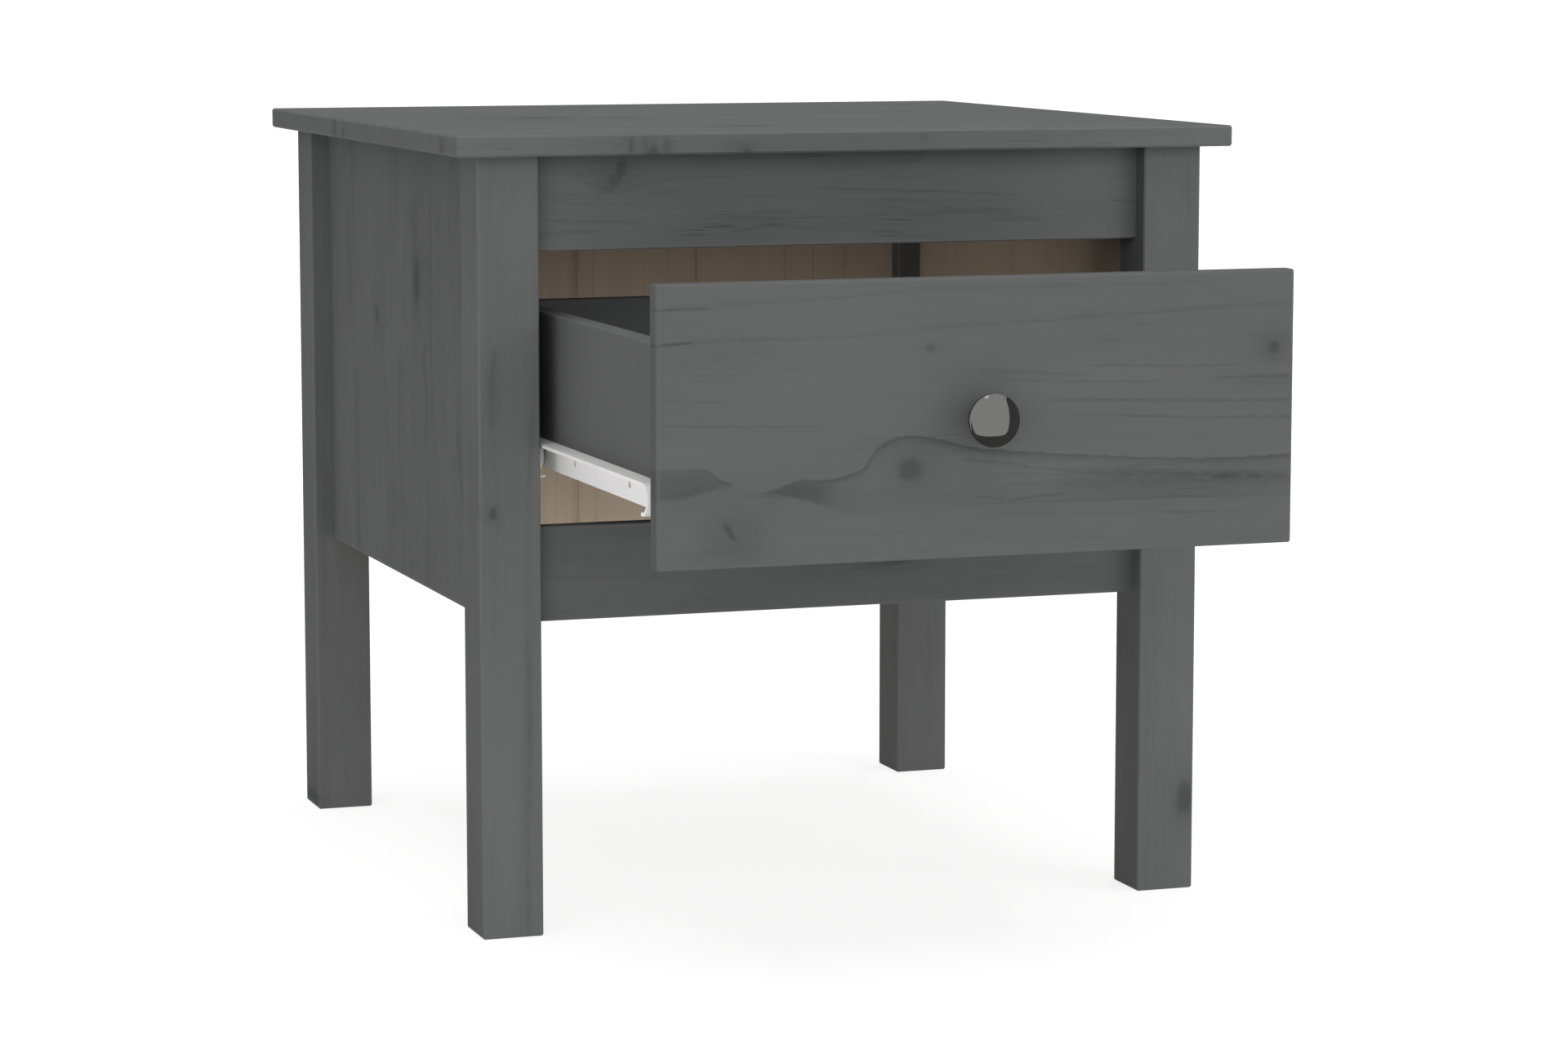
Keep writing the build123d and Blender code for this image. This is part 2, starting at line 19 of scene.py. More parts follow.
import bpy
from bpy.types import ID, GeometryNodeTree, Material, Node, NodeSocket, NodeTree, Object
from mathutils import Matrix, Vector

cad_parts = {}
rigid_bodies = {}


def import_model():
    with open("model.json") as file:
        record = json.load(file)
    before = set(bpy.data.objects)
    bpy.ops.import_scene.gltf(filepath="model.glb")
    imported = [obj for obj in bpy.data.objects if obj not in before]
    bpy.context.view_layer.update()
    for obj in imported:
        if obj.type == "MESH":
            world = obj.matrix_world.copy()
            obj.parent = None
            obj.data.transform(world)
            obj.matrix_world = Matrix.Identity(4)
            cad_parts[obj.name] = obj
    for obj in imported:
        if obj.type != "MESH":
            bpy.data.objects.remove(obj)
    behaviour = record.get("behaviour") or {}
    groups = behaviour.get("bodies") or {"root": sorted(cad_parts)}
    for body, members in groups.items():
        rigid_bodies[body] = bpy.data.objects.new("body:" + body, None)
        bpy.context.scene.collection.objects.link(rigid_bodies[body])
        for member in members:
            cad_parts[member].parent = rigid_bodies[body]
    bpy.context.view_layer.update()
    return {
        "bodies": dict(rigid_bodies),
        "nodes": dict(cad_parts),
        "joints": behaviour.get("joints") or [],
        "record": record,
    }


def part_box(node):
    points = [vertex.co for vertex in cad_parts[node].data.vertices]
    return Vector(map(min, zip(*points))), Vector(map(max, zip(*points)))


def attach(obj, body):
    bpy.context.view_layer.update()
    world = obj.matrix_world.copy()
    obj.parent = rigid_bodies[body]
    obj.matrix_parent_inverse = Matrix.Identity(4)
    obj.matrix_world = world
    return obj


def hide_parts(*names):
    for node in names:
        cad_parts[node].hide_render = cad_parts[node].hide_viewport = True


LOG = logging.getLogger("side_table")
MM = 0.001

Triple = tuple[float, float, float]
Pair = tuple[float, float]


# ---- Choices ----------------------------------------------------------------------------------
class Grain(Enum):
    """Which way a board's grain runs: the axes that its length, width and depth follow."""

    ALONG_X_FACE_Y = (0, 2, 1)
    ALONG_X_FACE_Z = (0, 1, 2)
    ALONG_Y_FACE_X = (1, 2, 0)
    ALONG_Z_FACE_X = (2, 1, 0)
    ALONG_Z_FACE_Y = (2, 0, 1)


class Paint(Enum):
    """How much of a board the grey stain covers."""

    ALL_ROUND = "all round"
    OUTER_FACE = "outer face"


# ---- Finishes ---------------------------------------------------------------------------------
@dataclass(frozen=True)
class Knot:
    """A knot in a board.

    Attributes:
        place: Its centre in the table's frame, in millimetres.
        along: Half its length along the grain, in millimetres.
        across: Half its width across the grain, in millimetres.
        strength: How dark it is, from 0 to 1.
        deep: Half its depth into the board, in millimetres.
        fray: How ragged its rim is.
        turn: How far it leans out of the grain, in degrees.
        lift: How far it pushes the rings aside, in millimetres.
        reach: How far along the grain the rings feel it, before and after it, in millimetres.
    """

    place: Triple
    along: float = 6.0
    across: float = 6.0
    strength: float = 0.8
    deep: float = 40.0
    fray: float = 1.2
    turn: float = 0.0
    lift: float = 4.0
    reach: Pair = (22.0, 30.0)


@dataclass(frozen=True)
class Streak:
    """A dark line of late wood or resin between two places of the frame, in millimetres."""

    start: Triple
    end: Triple
    width: float
    strength: float


@dataclass(frozen=True)
class Wood:
    """The colours and sheen of a wooden surface.

    Early and late are the colours of the soft and the dense part of a growth ring.
    """

    early: Triple
    late: Triple
    knot: Triple
    roughness: float
    sheen: float
    contrast: float = 1.0


@dataclass(frozen=True)
class Figure:
    """How the growth rings of a board lie.

    Attributes:
        pith_offset: Where the pith lies across the board, from its centre, in metres.
        pith_depth: How deep the pith lies below the board's centre plane, in metres.
        main_ring: The radius of the board's darkest ring, in metres.
        main_strength: How dark that ring is, from 0 to 1.
        spacing: The width of one growth ring, in metres.
        tilt: How much deeper the pith lies for each metre along the board.
        warp: How far the rings wander sideways, in metres.
        strength: How dark the other rings are, from 0 to 1.
        dashes: How dark the short dashes of late wood are, from 0 to 1.
        seed: Which part of the noise the board takes.
    """

    pith_offset: float = 0.0
    pith_depth: float = 0.030
    main_ring: float = 0.040
    main_strength: float = 0.3
    spacing: float = 0.006
    tilt: float = 0.05
    warp: float = 0.008
    strength: float = 0.34
    dashes: float = 0.26
    seed: float = 0.0


@dataclass(frozen=True)
class Heart:
    """The dark heart that shows along a board: a band of resin between two bowed rings.

    Each curve is a row of points: a place along the board, and a height across it or a strength
    there, in millimetres of the table's frame or from 0 to 1.
    """

    upper: tuple[Pair, ...]
    lower: tuple[Pair, ...]
    line: tuple[Pair, ...]
    fill: tuple[Pair, ...]


@dataclass(frozen=True)
class Metal:
    """A metal or a coated surface, with its sheen, its fine marks and its rubbed spots."""

    name: str
    colour: Triple
    mark: Triple
    roughness: float
    metallic: float
    bump: float
    scale: float
    specular: float = 0.5


@dataclass(frozen=True)
class Fleck:
    """Noise that is drawn out along the grain.

    Attributes:
        scales: How many times it repeats in a metre, along, across and into the board.
        detail: How many octaves it has.
        rough: How strong the finer octaves are.
    """

    scales: Triple
    detail: float
    rough: float


@dataclass(frozen=True)
class Weights:
    """How much each of a board's marks adds to one thing, such as its darkness.

    Attributes:
        base: What there is without any mark.
        cloud: The soft clouds.
        streak: The fine streaks of the fibre.
        dash: The short dashes of late wood.
        board: The difference from one glued board to the next.
        ring: The growth rings.
        dusk: The shade around a knot.
        joint: The glue joints.
        wear: The rubbed edges.
        hollow: The knots' cores and the glue joints, whichever is more.
    """

    base: float = 0.0
    cloud: float = 0.0
    streak: float = 0.0
    dash: float = 0.0
    board: float = 0.0
    ring: float = 0.0
    dusk: float = 0.0
    joint: float = 0.0
    wear: float = 0.0
    hollow: float = 0.0


GREY_STAIN = Wood(
    early=(0.1240, 0.1285, 0.1262),
    late=(0.0770, 0.0800, 0.0788),
    knot=(0.0660, 0.0690, 0.0680),
    roughness=0.66,
    sheen=0.010,
    contrast=0.85,
)
PLAIN_STAIN = replace(GREY_STAIN, contrast=0.40)
LIVELY_STAIN = replace(GREY_STAIN, contrast=1.15)
BARE_PINE = Wood(
    early=(0.578, 0.495, 0.403),
    late=(0.430, 0.322, 0.235),
    knot=(0.250, 0.150, 0.090),
    roughness=0.66,
    sheen=0.05,
)
BEECH = Wood(
    early=(0.620, 0.450, 0.300),
    late=(0.520, 0.350, 0.220),
    knot=(0.400, 0.250, 0.150),
    roughness=0.60,
    sheen=0.10,
)
GREY_BOARD = Wood(
    early=(0.1120, 0.1175, 0.1150),
    late=(0.1020, 0.1070, 0.1050),
    knot=(0.0860, 0.0900, 0.0880),
    roughness=0.62,
    sheen=0.03,
    contrast=0.4,
)

WHITE_COAT = Metal(
    "white_coat", (0.930, 0.930, 0.925), (0.780, 0.780, 0.770), 0.42, 0.0, 0.12, 420.0
)
WHITE_NYLON = Metal(
    "white_nylon", (0.780, 0.780, 0.760), (0.600, 0.600, 0.580), 0.50, 0.0, 0.10, 300.0
)
ZINC = Metal("zinc_plate", (0.620, 0.620, 0.600), (0.400, 0.400, 0.390), 0.34, 1.0, 0.15, 600.0)
SCREW_PLATE = Metal(
    "screw_plate", (0.560, 0.560, 0.550), (0.350, 0.350, 0.340), 0.38, 1.0, 0.15, 800.0
)
KNOB_METAL = Metal(
    "knob_metal", (0.187, 0.186, 0.181), (0.170, 0.170, 0.166), 0.05, 1.0, 0.02, 300.0
)

# The noises of a wooden surface.
FIBRE = Fleck((16.0, 620.0, 620.0), 4.0, 0.62)
DASH = Fleck((34.0, 780.0, 500.0), 1.0, 0.50)
DASH_PATCH = Fleck((10.0, 46.0, 46.0), 2.0, 0.55)
CLOUD = Fleck((9.0, 34.0, 20.0), 3.0, 0.55)
RAGGED = Fleck((170.0, 340.0, 200.0), 3.0, 0.60)
RING_SWAY = Fleck((3.4, 15.0, 0.0), 3.0, 0.45)
RING_PATCH = Fleck((9.0, 40.0, 0.0), 2.0, 0.50)

# What a board's marks add to its darkness, to its roughness and to its relief.
DARKNESS = Weights(base=0.15, cloud=0.62, streak=0.36, board=0.30, dusk=0.42, joint=0.50)
ROUGHNESS = Weights(base=-0.07, ring=0.10, streak=0.14, wear=-0.08)
RELIEF = Weights(streak=0.5, ring=-0.8, dash=-0.35, hollow=-0.8)
WOOD_BUMP = 0.35
WOOD_DEPTH = 0.12 * MM

# Where a mark starts and where it is full, and for some also how strong it is at these two.
DASH_FULL = (0.52, 0.70)
DASH_PATCH_FULL = (0.50, 0.68)
KNOT_CORE = (1.45, 0.45)
STREAK_START = (-0.02, 0.16)
STREAK_END = (1.02, 0.84)
STREAK_BREAKS = (0.30, 0.62, 0.35, 1.0)
RING_EDGE = (0.0, 0.07)
RING_PATCH_FULL = (0.32, 0.62, 0.2, 1.0)
GLUE_LINE = (0.9 * MM, 0.1 * MM)
PAINT_EDGE = (1.2 * MM, 1.0 * MM)
RUBBED_SPOTS = (0.60, 0.74)

# How wide a knot's bend is for its lift, and how fast the dusk around it fades.
KNOT_BEND_WIDTH = 2.4
KNOT_DUSK_FADE = 0.22
# How fast a ring fades inwards, and how far a dark line sways.
RING_FADE = 3.2
STREAK_SWAY = 6.0 * MM
# How far the pith moves from one glued board to the next, for its width, and along the grain.
BOARD_PITH_SHARE = 0.7
BOARD_STEP = 0.83
BOARD_SEED_STEP = 2.71
BOARD_CHANCE = 0.37
# The rubbed edges: how wide they are, how much lighter, and how much of that shows.
EDGE_WIDTH = 1.6 * MM
EDGE_LIGHTER = 1.18
EDGE_COVER = 0.32
# The dark heart, in millimetres: how rough its outline is, where its ring and its resin begin and
# are full, and how fast its ring fades.
HEART_FRAY = 2.6
HEART_RING = (-0.7, 0.3)
HEART_TOP = (-0.6, 1.4)
HEART_FOOT = (-1.6, 2.0)
HEART_MOTTLE = (0.25, 0.70, 0.60, 1.15)
HEART_FADE = 0.36
# A coated or plated surface: how much its spots show, how much rougher they are, how deep it is.
SPOT_COVER = 0.35
SPOT_ROUGHNESS = 0.05
SPOT_SCALE = 0.12
METAL_DEPTH = 0.05 * MM

WHITE = (1.0, 1.0, 1.0, 1.0)
NUMBER, VECTOR, GEOMETRY = "NodeSocketFloat", "NodeSocketVector", "NodeSocketGeometry"


# ---- Node helpers -----------------------------------------------------------------------------
class Term:
    """A value that flows through a node tree, so that a formula reads as it is written."""

    def __init__(self, graph: Graph, socket: NodeSocket) -> None:
        """Takes a socket of a graph."""
        self.graph, self.socket = graph, socket

    def __add__(self, other: object) -> Term:
        """Returns the sum."""
        return self.graph.math("ADD", self, other)

    def __sub__(self, other: object) -> Term:
        """Returns the difference."""
        return self.graph.math("SUBTRACT", self, other)

    def __mul__(self, other: object) -> Term:
        """Returns the product."""
        return self.graph.math("MULTIPLY", self, other)

    def __truediv__(self, other: object) -> Term:
        """Returns the quotient."""
        return self.graph.math("DIVIDE", self, other)

    def squared(self) -> Term:
        """Returns the square."""
        return self.graph.math("POWER", self, 2.0)

    def exponent(self) -> Term:
        """Returns e raised to this value."""
        return self.graph.math("EXPONENT", self)


class Graph:
    """A node tree that is being filled, with short calls for the nodes that recur."""

    def __init__(self, tree: NodeTree) -> None:
        """Starts on a tree, which is emptied first."""
        self.tree = tree
        tree.nodes.clear()

    def feed(self, socket: NodeSocket, value: object) -> None:
        """Gives an input a link, or a plain value.

        Args:
            socket: The input.
            value: A term or a socket to link from, or the plain value.
        """
        source = value.socket if isinstance(value, Term) else value
        if isinstance(source, NodeSocket):
            self.tree.links.new(source, socket)
        else:
            socket.default_value = source

    def fill(self, made: Node, inputs: dict[str, object]) -> Node:
        """Feeds a node's inputs by name.

        Args:
            made: The node.
            inputs: What each input takes.

        Returns:
            The same node.
        """
        for name, value in inputs.items():
            self.feed(made.inputs[name], value)
        return made

    def node(self, kind: str, *values: object, **settings: object) -> Node:
        """Adds a node, sets its properties and feeds its inputs.

        Args:
            kind: Blender's name for the node type.
            *values: What its first inputs take, in order.
            **settings: Properties of the node, by name.

        Returns:
            The new node.
        """
        made = self.tree.nodes.new(kind)
        for name, value in settings.items():
            setattr(made, name, value)
        for socket, value in zip(made.inputs, values):
            self.feed(socket, value)
        return made

    def term(self, kind: str, *values: object, **settings: object) -> Term:
        """Adds a node in the way that node does, and returns its first output."""
        return Term(self, self.node(kind, *values, **settings).outputs[0])

    def math(self, operation: str, *values: object, clamp: bool = False) -> Term:
        """Returns the result of a Math node, kept between 0 and 1 where it is clamped."""
        return self.term("ShaderNodeMath", *values, operation=operation, use_clamp=clamp)

    def total(self, *values: object) -> Term:
        """Returns the sum of any number of values."""
        return reduce(lambda first, second: self.math("ADD", first, second), values)

    def vector_math(self, operation: str, *values: object) -> Term:
        """Returns the vector result of a Vector Math node."""
        return self.term("ShaderNodeVectorMath", *values, operation=operation)

    def split(self, vector: object) -> list[Term]:
        """Returns the three components of a vector."""
        return [Term(self, part) for part in self.node("ShaderNodeSeparateXYZ", vector).outputs]

    def join(self, x: object, y: object, z: object) -> Term:
        """Returns a vector made of three components."""
        return self.term("ShaderNodeCombineXYZ", x, y, z)

    def length(self, vector: object) -> Term:
        """Returns the length of a vector."""
        made = self.node("ShaderNodeVectorMath", vector, operation="LENGTH")
        return Term(self, made.outputs["Value"])

    def ramp(
        self, value: object, low: object, high: object, start: float = 0.0, end: float = 1.0
    ) -> Term:
        """Maps a value smoothly from low..high to start..end, held at both ends."""
        limits = (low, high, start, end)
        return self.term("ShaderNodeMapRange", value, *limits, interpolation_type="SMOOTHSTEP")

    def scale(self, value: object, low: object, high: object, start: object, end: object) -> Term:
        """Maps a value in proportion from low..high to start..end, held at both ends."""
        return self.term("ShaderNodeMapRange", value, low, high, start, end)

    def chance(self, dimensions: str, key_name: str, key: object) -> Term:
        """Returns a number from 0 to 1 by chance, which is always the same for the same key."""
        made = self.node("ShaderNodeTexWhiteNoise", noise_dimensions=dimensions)
        return Term(self, self.fill(made, {key_name: key}).outputs["Value"])

    def noise(self, vector: object, scale: object, detail: float, rough: float) -> Term:
        """Adds a Noise Texture.

        Args:
            vector: Where it is read.
            scale: How many times it repeats in a metre.
            detail: How many octaves it has.
            rough: How strong the finer octaves are.

        Returns:
            Its factor, about 0.5 on average.
        """
        made = self.node("ShaderNodeTexNoise")
        self.fill(made, {"Vector": vector, "Scale": scale, "Detail": detail, "Roughness": rough})
        return Term(self, made.outputs["Fac"])

    def fleck(self, place: object, seed: object, fleck: Fleck) -> Term:
        """Adds noise that is drawn out along the grain.

        Args:
            place: The place in board space.
            seed: Moves the noise, so that boards differ.
            fleck: How it repeats and how fine it is.

        Returns:
            The noise, about 0.5 on average.
        """
        scaled = self.vector_math("MULTIPLY", place, fleck.scales)
        moved = self.vector_math("ADD", scaled, self.join(seed, 0.0, seed))
        return self.noise(moved, 1.0, fleck.detail, fleck.rough)

    def curve(self, value: object, points: Sequence[Pair]) -> Term:
        """Looks a value up on a smooth curve.

        Args:
            value: What to look up.
            points: The curve's points, in order, each a value and its result.

        Returns:
            The result, held at the curve's two ends.
        """
        first, last = points[0][0], points[-1][0]
        low, high = min(point[1] for point in points), max(point[1] for point in points)
        drawn = self.node("ShaderNodeFloatCurve")
        line = drawn.mapping.curves[0]
        while len(line.points) < len(points):
            line.points.new(0.5, 0.5)
        for handle, (at, result) in zip(line.points, points):
            handle.location = ((at - first) / (last - first), (result - low) / (high - low))
        drawn.mapping.update()
        self.feed(drawn.inputs["Value"], self.scale(value, first, last, 0.0, 1.0))
        return self.scale(drawn.outputs[0], 0.0, 1.0, low, high)

    def mix(self, factor: object, first: object, second: object) -> Term:
        """Mixes two colours.

        Args:
            factor: How much there is of the second, from 0 to 1.
            first: The first colour, as a term or three numbers.
            second: The second colour, in the same way.

        Returns:
            The mixed colour.
        """
        made = self.node("ShaderNodeMix", factor, data_type="RGBA")
        colour_inputs = [socket for socket in made.inputs if socket.type == "RGBA"]
        for socket, value in zip(colour_inputs, (first, second)):
            self.feed(socket, (*value, 1.0) if isinstance(value, tuple) else value)
        return Term(self, next(socket for socket in made.outputs if socket.type == "RGBA"))

    def use(self, group: NodeTree, **inputs: object) -> SimpleNamespace:
        """Places a shader group.

        Args:
            group: The group.
            **inputs: What its inputs take, under names such as half_size for Half Size.

        Returns:
            Its outputs as terms, under names of the same kind.
        """
        made = self.node("ShaderNodeGroup", node_tree=group)
        self.fill(made, {label(name): value for name, value in inputs.items()})
        return terms(self, made.outputs)


def label(name: str) -> str:
    """Returns the label of a socket, such as Half Size for half_size."""
    return name.replace("_", " ").title()


def terms(graph: Graph, sockets: Iterable[NodeSocket]) -> SimpleNamespace:
    """Returns named sockets as terms, under names such as half_size for Half Size."""
    named = {socket.name.lower().replace(" ", "_"): socket for socket in sockets if socket.name}
    return SimpleNamespace(**{name: Term(graph, socket) for name, socket in named.items()})


def new_group(name: str, vectors: str, numbers: str) -> tuple[Graph, SimpleNamespace]:
    """Starts a shader node group.

    Args:
        name: The group's name.
        vectors: The names of its vector inputs, with a space between each two.
        numbers: The names of its number inputs, in the same way.

    Returns:
        The graph to fill, and the group's inputs as terms.
    """
    graph = Graph(bpy.data.node_groups.new(name, "ShaderNodeTree"))
    for names, kind in ((vectors, VECTOR), (numbers, NUMBER)):
        for item in names.split():
            graph.tree.interface.new_socket(label(item), in_out="INPUT", socket_type=kind)
    return graph, terms(graph, graph.node("NodeGroupInput").outputs)


def close_group(graph: Graph, **results: Term) -> NodeTree:
    """Gives a shader node group its outputs.

    Args:
        graph: The group's graph.
        **results: What it puts out, by name.

    Returns:
        The finished group.
    """
    kinds = {name: term.socket.type for name, term in results.items()}
    for name, kind in kinds.items():
        kind = VECTOR if kind == "VECTOR" else NUMBER
        graph.tree.interface.new_socket(label(name), in_out="OUTPUT", socket_type=kind)
    leave = graph.node("NodeGroupOutput")
    graph.fill(leave, {label(name): term for name, term in results.items()})
    return graph.tree


def new_material(name: str) -> tuple[Material, Graph]:
    """Starts a material.

    Args:
        name: The material's name.

    Returns:
        The material, and its graph to fill.
    """
    made = bpy.data.materials.new(name)
    made.use_nodes = True
    return made, Graph(made.node_tree)


def close_material(
    graph: Graph, inputs: dict[str, object], height: object, strength: float, depth: float
) -> None:
    """Ends a material with its shader and its bump.

    Args:
        graph: The material's graph.
        inputs: What the shader's own inputs take, by name.
        height: The relief.
        strength: How strong the bump is, from 0 to 1.
        depth: How deep the relief is, in metres.
    """
    relief = {"Strength": strength, "Distance": depth, "Height": height}
    bump = graph.fill(graph.node("ShaderNodeBump"), relief)
    shader = graph.fill(graph.node("ShaderNodeBsdfPrincipled"), inputs)
    graph.feed(shader.inputs["Normal"], bump.outputs["Normal"])
    graph.node("ShaderNodeOutputMaterial", shader.outputs["BSDF"])


def put_material(piece: Object, material: Material) -> None:
    """Gives a piece one material, in every slot that it has.

    Args:
        piece: The piece.
        material: Its material.
    """
    if not piece.material_slots:
        piece.data.materials.append(material)
        return
    for slot in piece.material_slots:
        slot.material = material


def place_object(name: str, data: ID) -> Object:
    """Adds an object to the scene.

    Args:
        name: Its name.
        data: Its mesh, lamp or camera.

    Returns:
        The object.
    """
    made = bpy.data.objects.new(name, data)
    bpy.context.scene.collection.objects.link(made)
    return made


def place_mesh(name: str, vertices: Sequence[Triple], faces: Sequence[tuple[int, ...]]) -> Object:
    """Adds a mesh object to the scene.

    Args:
        name: Its name.
        vertices: The places of its vertices, in metres.
        faces: The vertices of each face, by number.

    Returns:
        The object.
    """
    mesh = bpy.data.meshes.new(name)
    mesh.from_pydata(vertices, [], faces)
    return place_object(name, mesh)


# ---- Shared effects ---------------------------------------------------------------------------
@dataclass
class Effects:
    """The shader groups that more than one finish uses, each built once.

    Board space has its X along the grain, its Y across it and its Z into the board's thickness.
    """

    fibre: NodeTree = field(init=False)
    knot: NodeTree = field(init=False)
    streak: NodeTree = field(init=False)
    rings: NodeTree = field(init=False)
    boards: NodeTree = field(init=False)
    edges: NodeTree = field(init=False)
    marks: NodeTree = field(init=False)

    def __post_init__(self) -> None:
        """Builds every group."""
        self.build_fibre()
        self.build_knot()
        self.build_streak()
        self.build_rings()
        self.build_boards()
        self.build_edges()
        self.build_marks()

    def build_fibre(self) -> None:
        """Builds the streaks of a planed surface, its short dark dashes, and its soft clouds."""
        graph, given = new_group("wood_fibre", "place", "seed")
        streak, dash, patch, cloud, ragged = (
            graph.fleck(given.place, given.seed, fleck)
            for fleck in (FIBRE, DASH, DASH_PATCH, CLOUD, RAGGED)
        )
        dash = graph.ramp(dash, *DASH_FULL) * graph.ramp(patch, *DASH_PATCH_FULL)
        self.fibre = close_group(graph, streak=streak, dash=dash, cloud=cloud, ragged=ragged)

    def build_knot(self) -> None:
        """Builds a knot: how far it pushes the rings aside, its dark core and the dusk around."""
        graph, given = new_group(
            "pine_knot",
            "place centre",
            "along across deep strength turn lift reach_before reach_after ragged fray",
        )
        centred = graph.vector_math("SUBTRACT", given.place, given.centre)
        along, across, depth = graph.split(centred)
        before = graph.math("MINIMUM", along, 0.0) / given.reach_before
        after = graph.math("MAXIMUM", along, 0.0) / given.reach_after
        rise = (across / (given.lift * KNOT_BEND_WIDTH)).squared()
        fall = (((after - before).squared() + rise) * -1.0).exponent()
        bend = fall * graph.math("TANH", across / given.across) * (given.lift * -1.0)
        cosine, sine = graph.math("COSINE", given.turn), graph.math("SINE", given.turn)
        long_way = (along * cosine + across * sine) / given.along
        short_way = (across * cosine - along * sine) / given.across
        spread = graph.length(graph.join(long_way, short_way, depth / given.deep))
        frayed = spread + (given.ragged - 0.5) * given.fray
        core = graph.ramp(frayed, *KNOT_CORE) * given.strength
        halo = (frayed.squared() * -KNOT_DUSK_FADE).exponent() * given.strength
        self.knot = close_group(graph, bend=bend, core=core, halo=halo)

    def build_streak(self) -> None:
        """Builds one dark line between two places, tapered at both ends and broken in its run."""
        graph, given = new_group("grain_line", "place start end", "width strength wobble breaks")
        along, across, _ = graph.split(given.place)
        start_along, start_across, _ = graph.split(given.start)
        end_along, end_across, _ = graph.split(given.end)
        part = (along - start_along) / (end_along - start_along)
        line = graph.scale(part, 0.0, 1.0, start_across, end_across)
        off = across - (line + (given.wobble - 0.5) * STREAK_SWAY)
        near = ((off / given.width).squared() * -1.0).exponent()
        ends = graph.ramp(part, *STREAK_START) * graph.ramp(part, *STREAK_END)
        broken = graph.ramp(given.breaks, *STREAK_BREAKS)
        self.streak = close_group(graph, dark=near * ends * (broken * given.strength))

    def build_rings(self) -> None:
        """Builds growth rings of flat-sawn pine: sharp on their outer side and fading inwards."""
        graph, given = new_group(
            "pine_rings",
            "place",
            "bend pith_offset pith_depth main_ring main_strength spacing tilt warp strength seed",
        )
        along, across, depth = graph.split(given.place)
        wander = (graph.fleck(given.place, given.seed, RING_SWAY) - 0.5) * given.warp
        from_pith = across + given.bend + wander - given.pith_offset
        below = depth + given.pith_depth + along * given.tilt
        radius = graph.length(graph.join(from_pith, below, 0.0))
        count = (given.main_ring - radius) / given.spacing
        index, part = graph.math("FLOOR", count), graph.math("FRACT", count)
        fade = (part * -RING_FADE).exponent()
        chance = graph.chance("2D", "Vector", graph.join(index, given.seed, 0.0))
        other = chance.squared() * given.strength
        main = graph.math("COMPARE", index, 0.0, 0.5) * given.main_strength
        strength = graph.math("MAXIMUM", other, main)
        patches = graph.ramp(graph.fleck(given.place, given.seed, RING_PATCH), *RING_PATCH_FULL)
        ring = fade * graph.ramp(part, *RING_EDGE) * (strength * patches)
        self.rings = close_group(graph, ring=ring)

    def build_boards(self) -> None:
        """Builds boards glued edge to edge: the place within one, its own seed, and the joints."""
        graph, given = new_group("glued_boards", "place", "board_width shift")
        along, across, depth = graph.split(given.place)
        count = (across - given.shift) / given.board_width
        index = graph.math("FLOOR", count)
        local = (graph.math("FRACT", count) - 0.5) * given.board_width
        tone = graph.chance("1D", "W", index + BOARD_CHANCE)
        pith = (tone - 0.5) * (given.board_width * BOARD_PITH_SHARE)
        edge = given.board_width * 0.5 - graph.math("ABSOLUTE", local)
        place = graph.join(along + index * BOARD_STEP, local + pith, depth)
        seed, joint = index * BOARD_SEED_STEP, graph.ramp(edge, *GLUE_LINE)
        self.boards = close_group(graph, place=place, seed=seed, tone=tone, joint=joint)

    def build_edges(self) -> None:
        """Builds wear along a board's edges, by how near its surface is to the next face."""
        graph, given = new_group("eased_edges", "place half_size", "width uneven")
        outward = graph.vector_math("ABSOLUTE", given.place)
        x, y, z = graph.split(graph.vector_math("SUBTRACT", given.half_size, outward))
        nearer, farther = graph.math("MINIMUM", x, y), graph.math("MAXIMUM", x, y)
        to_edge = graph.math("MAXIMUM", nearer, graph.math("MINIMUM", farther, z))
        wear = graph.ramp(to_edge - given.uneven * given.width, given.width, 0.0)
        self.edges = close_group(graph, wear=wear)

    def build_marks(self) -> None:
        """Builds the orange peel and rubbed spots of a coated, moulded or plated piece."""
        graph, given = new_group("surface_marks", "place", "scale")
        peel = graph.noise(given.place, given.scale, 3.0, 0.55)
        spots = graph.noise(given.place, given.scale * SPOT_SCALE, 4.0, 0.6)
        self.marks = close_group(graph, peel=peel, rub=graph.ramp(spots, *RUBBED_SPOTS))


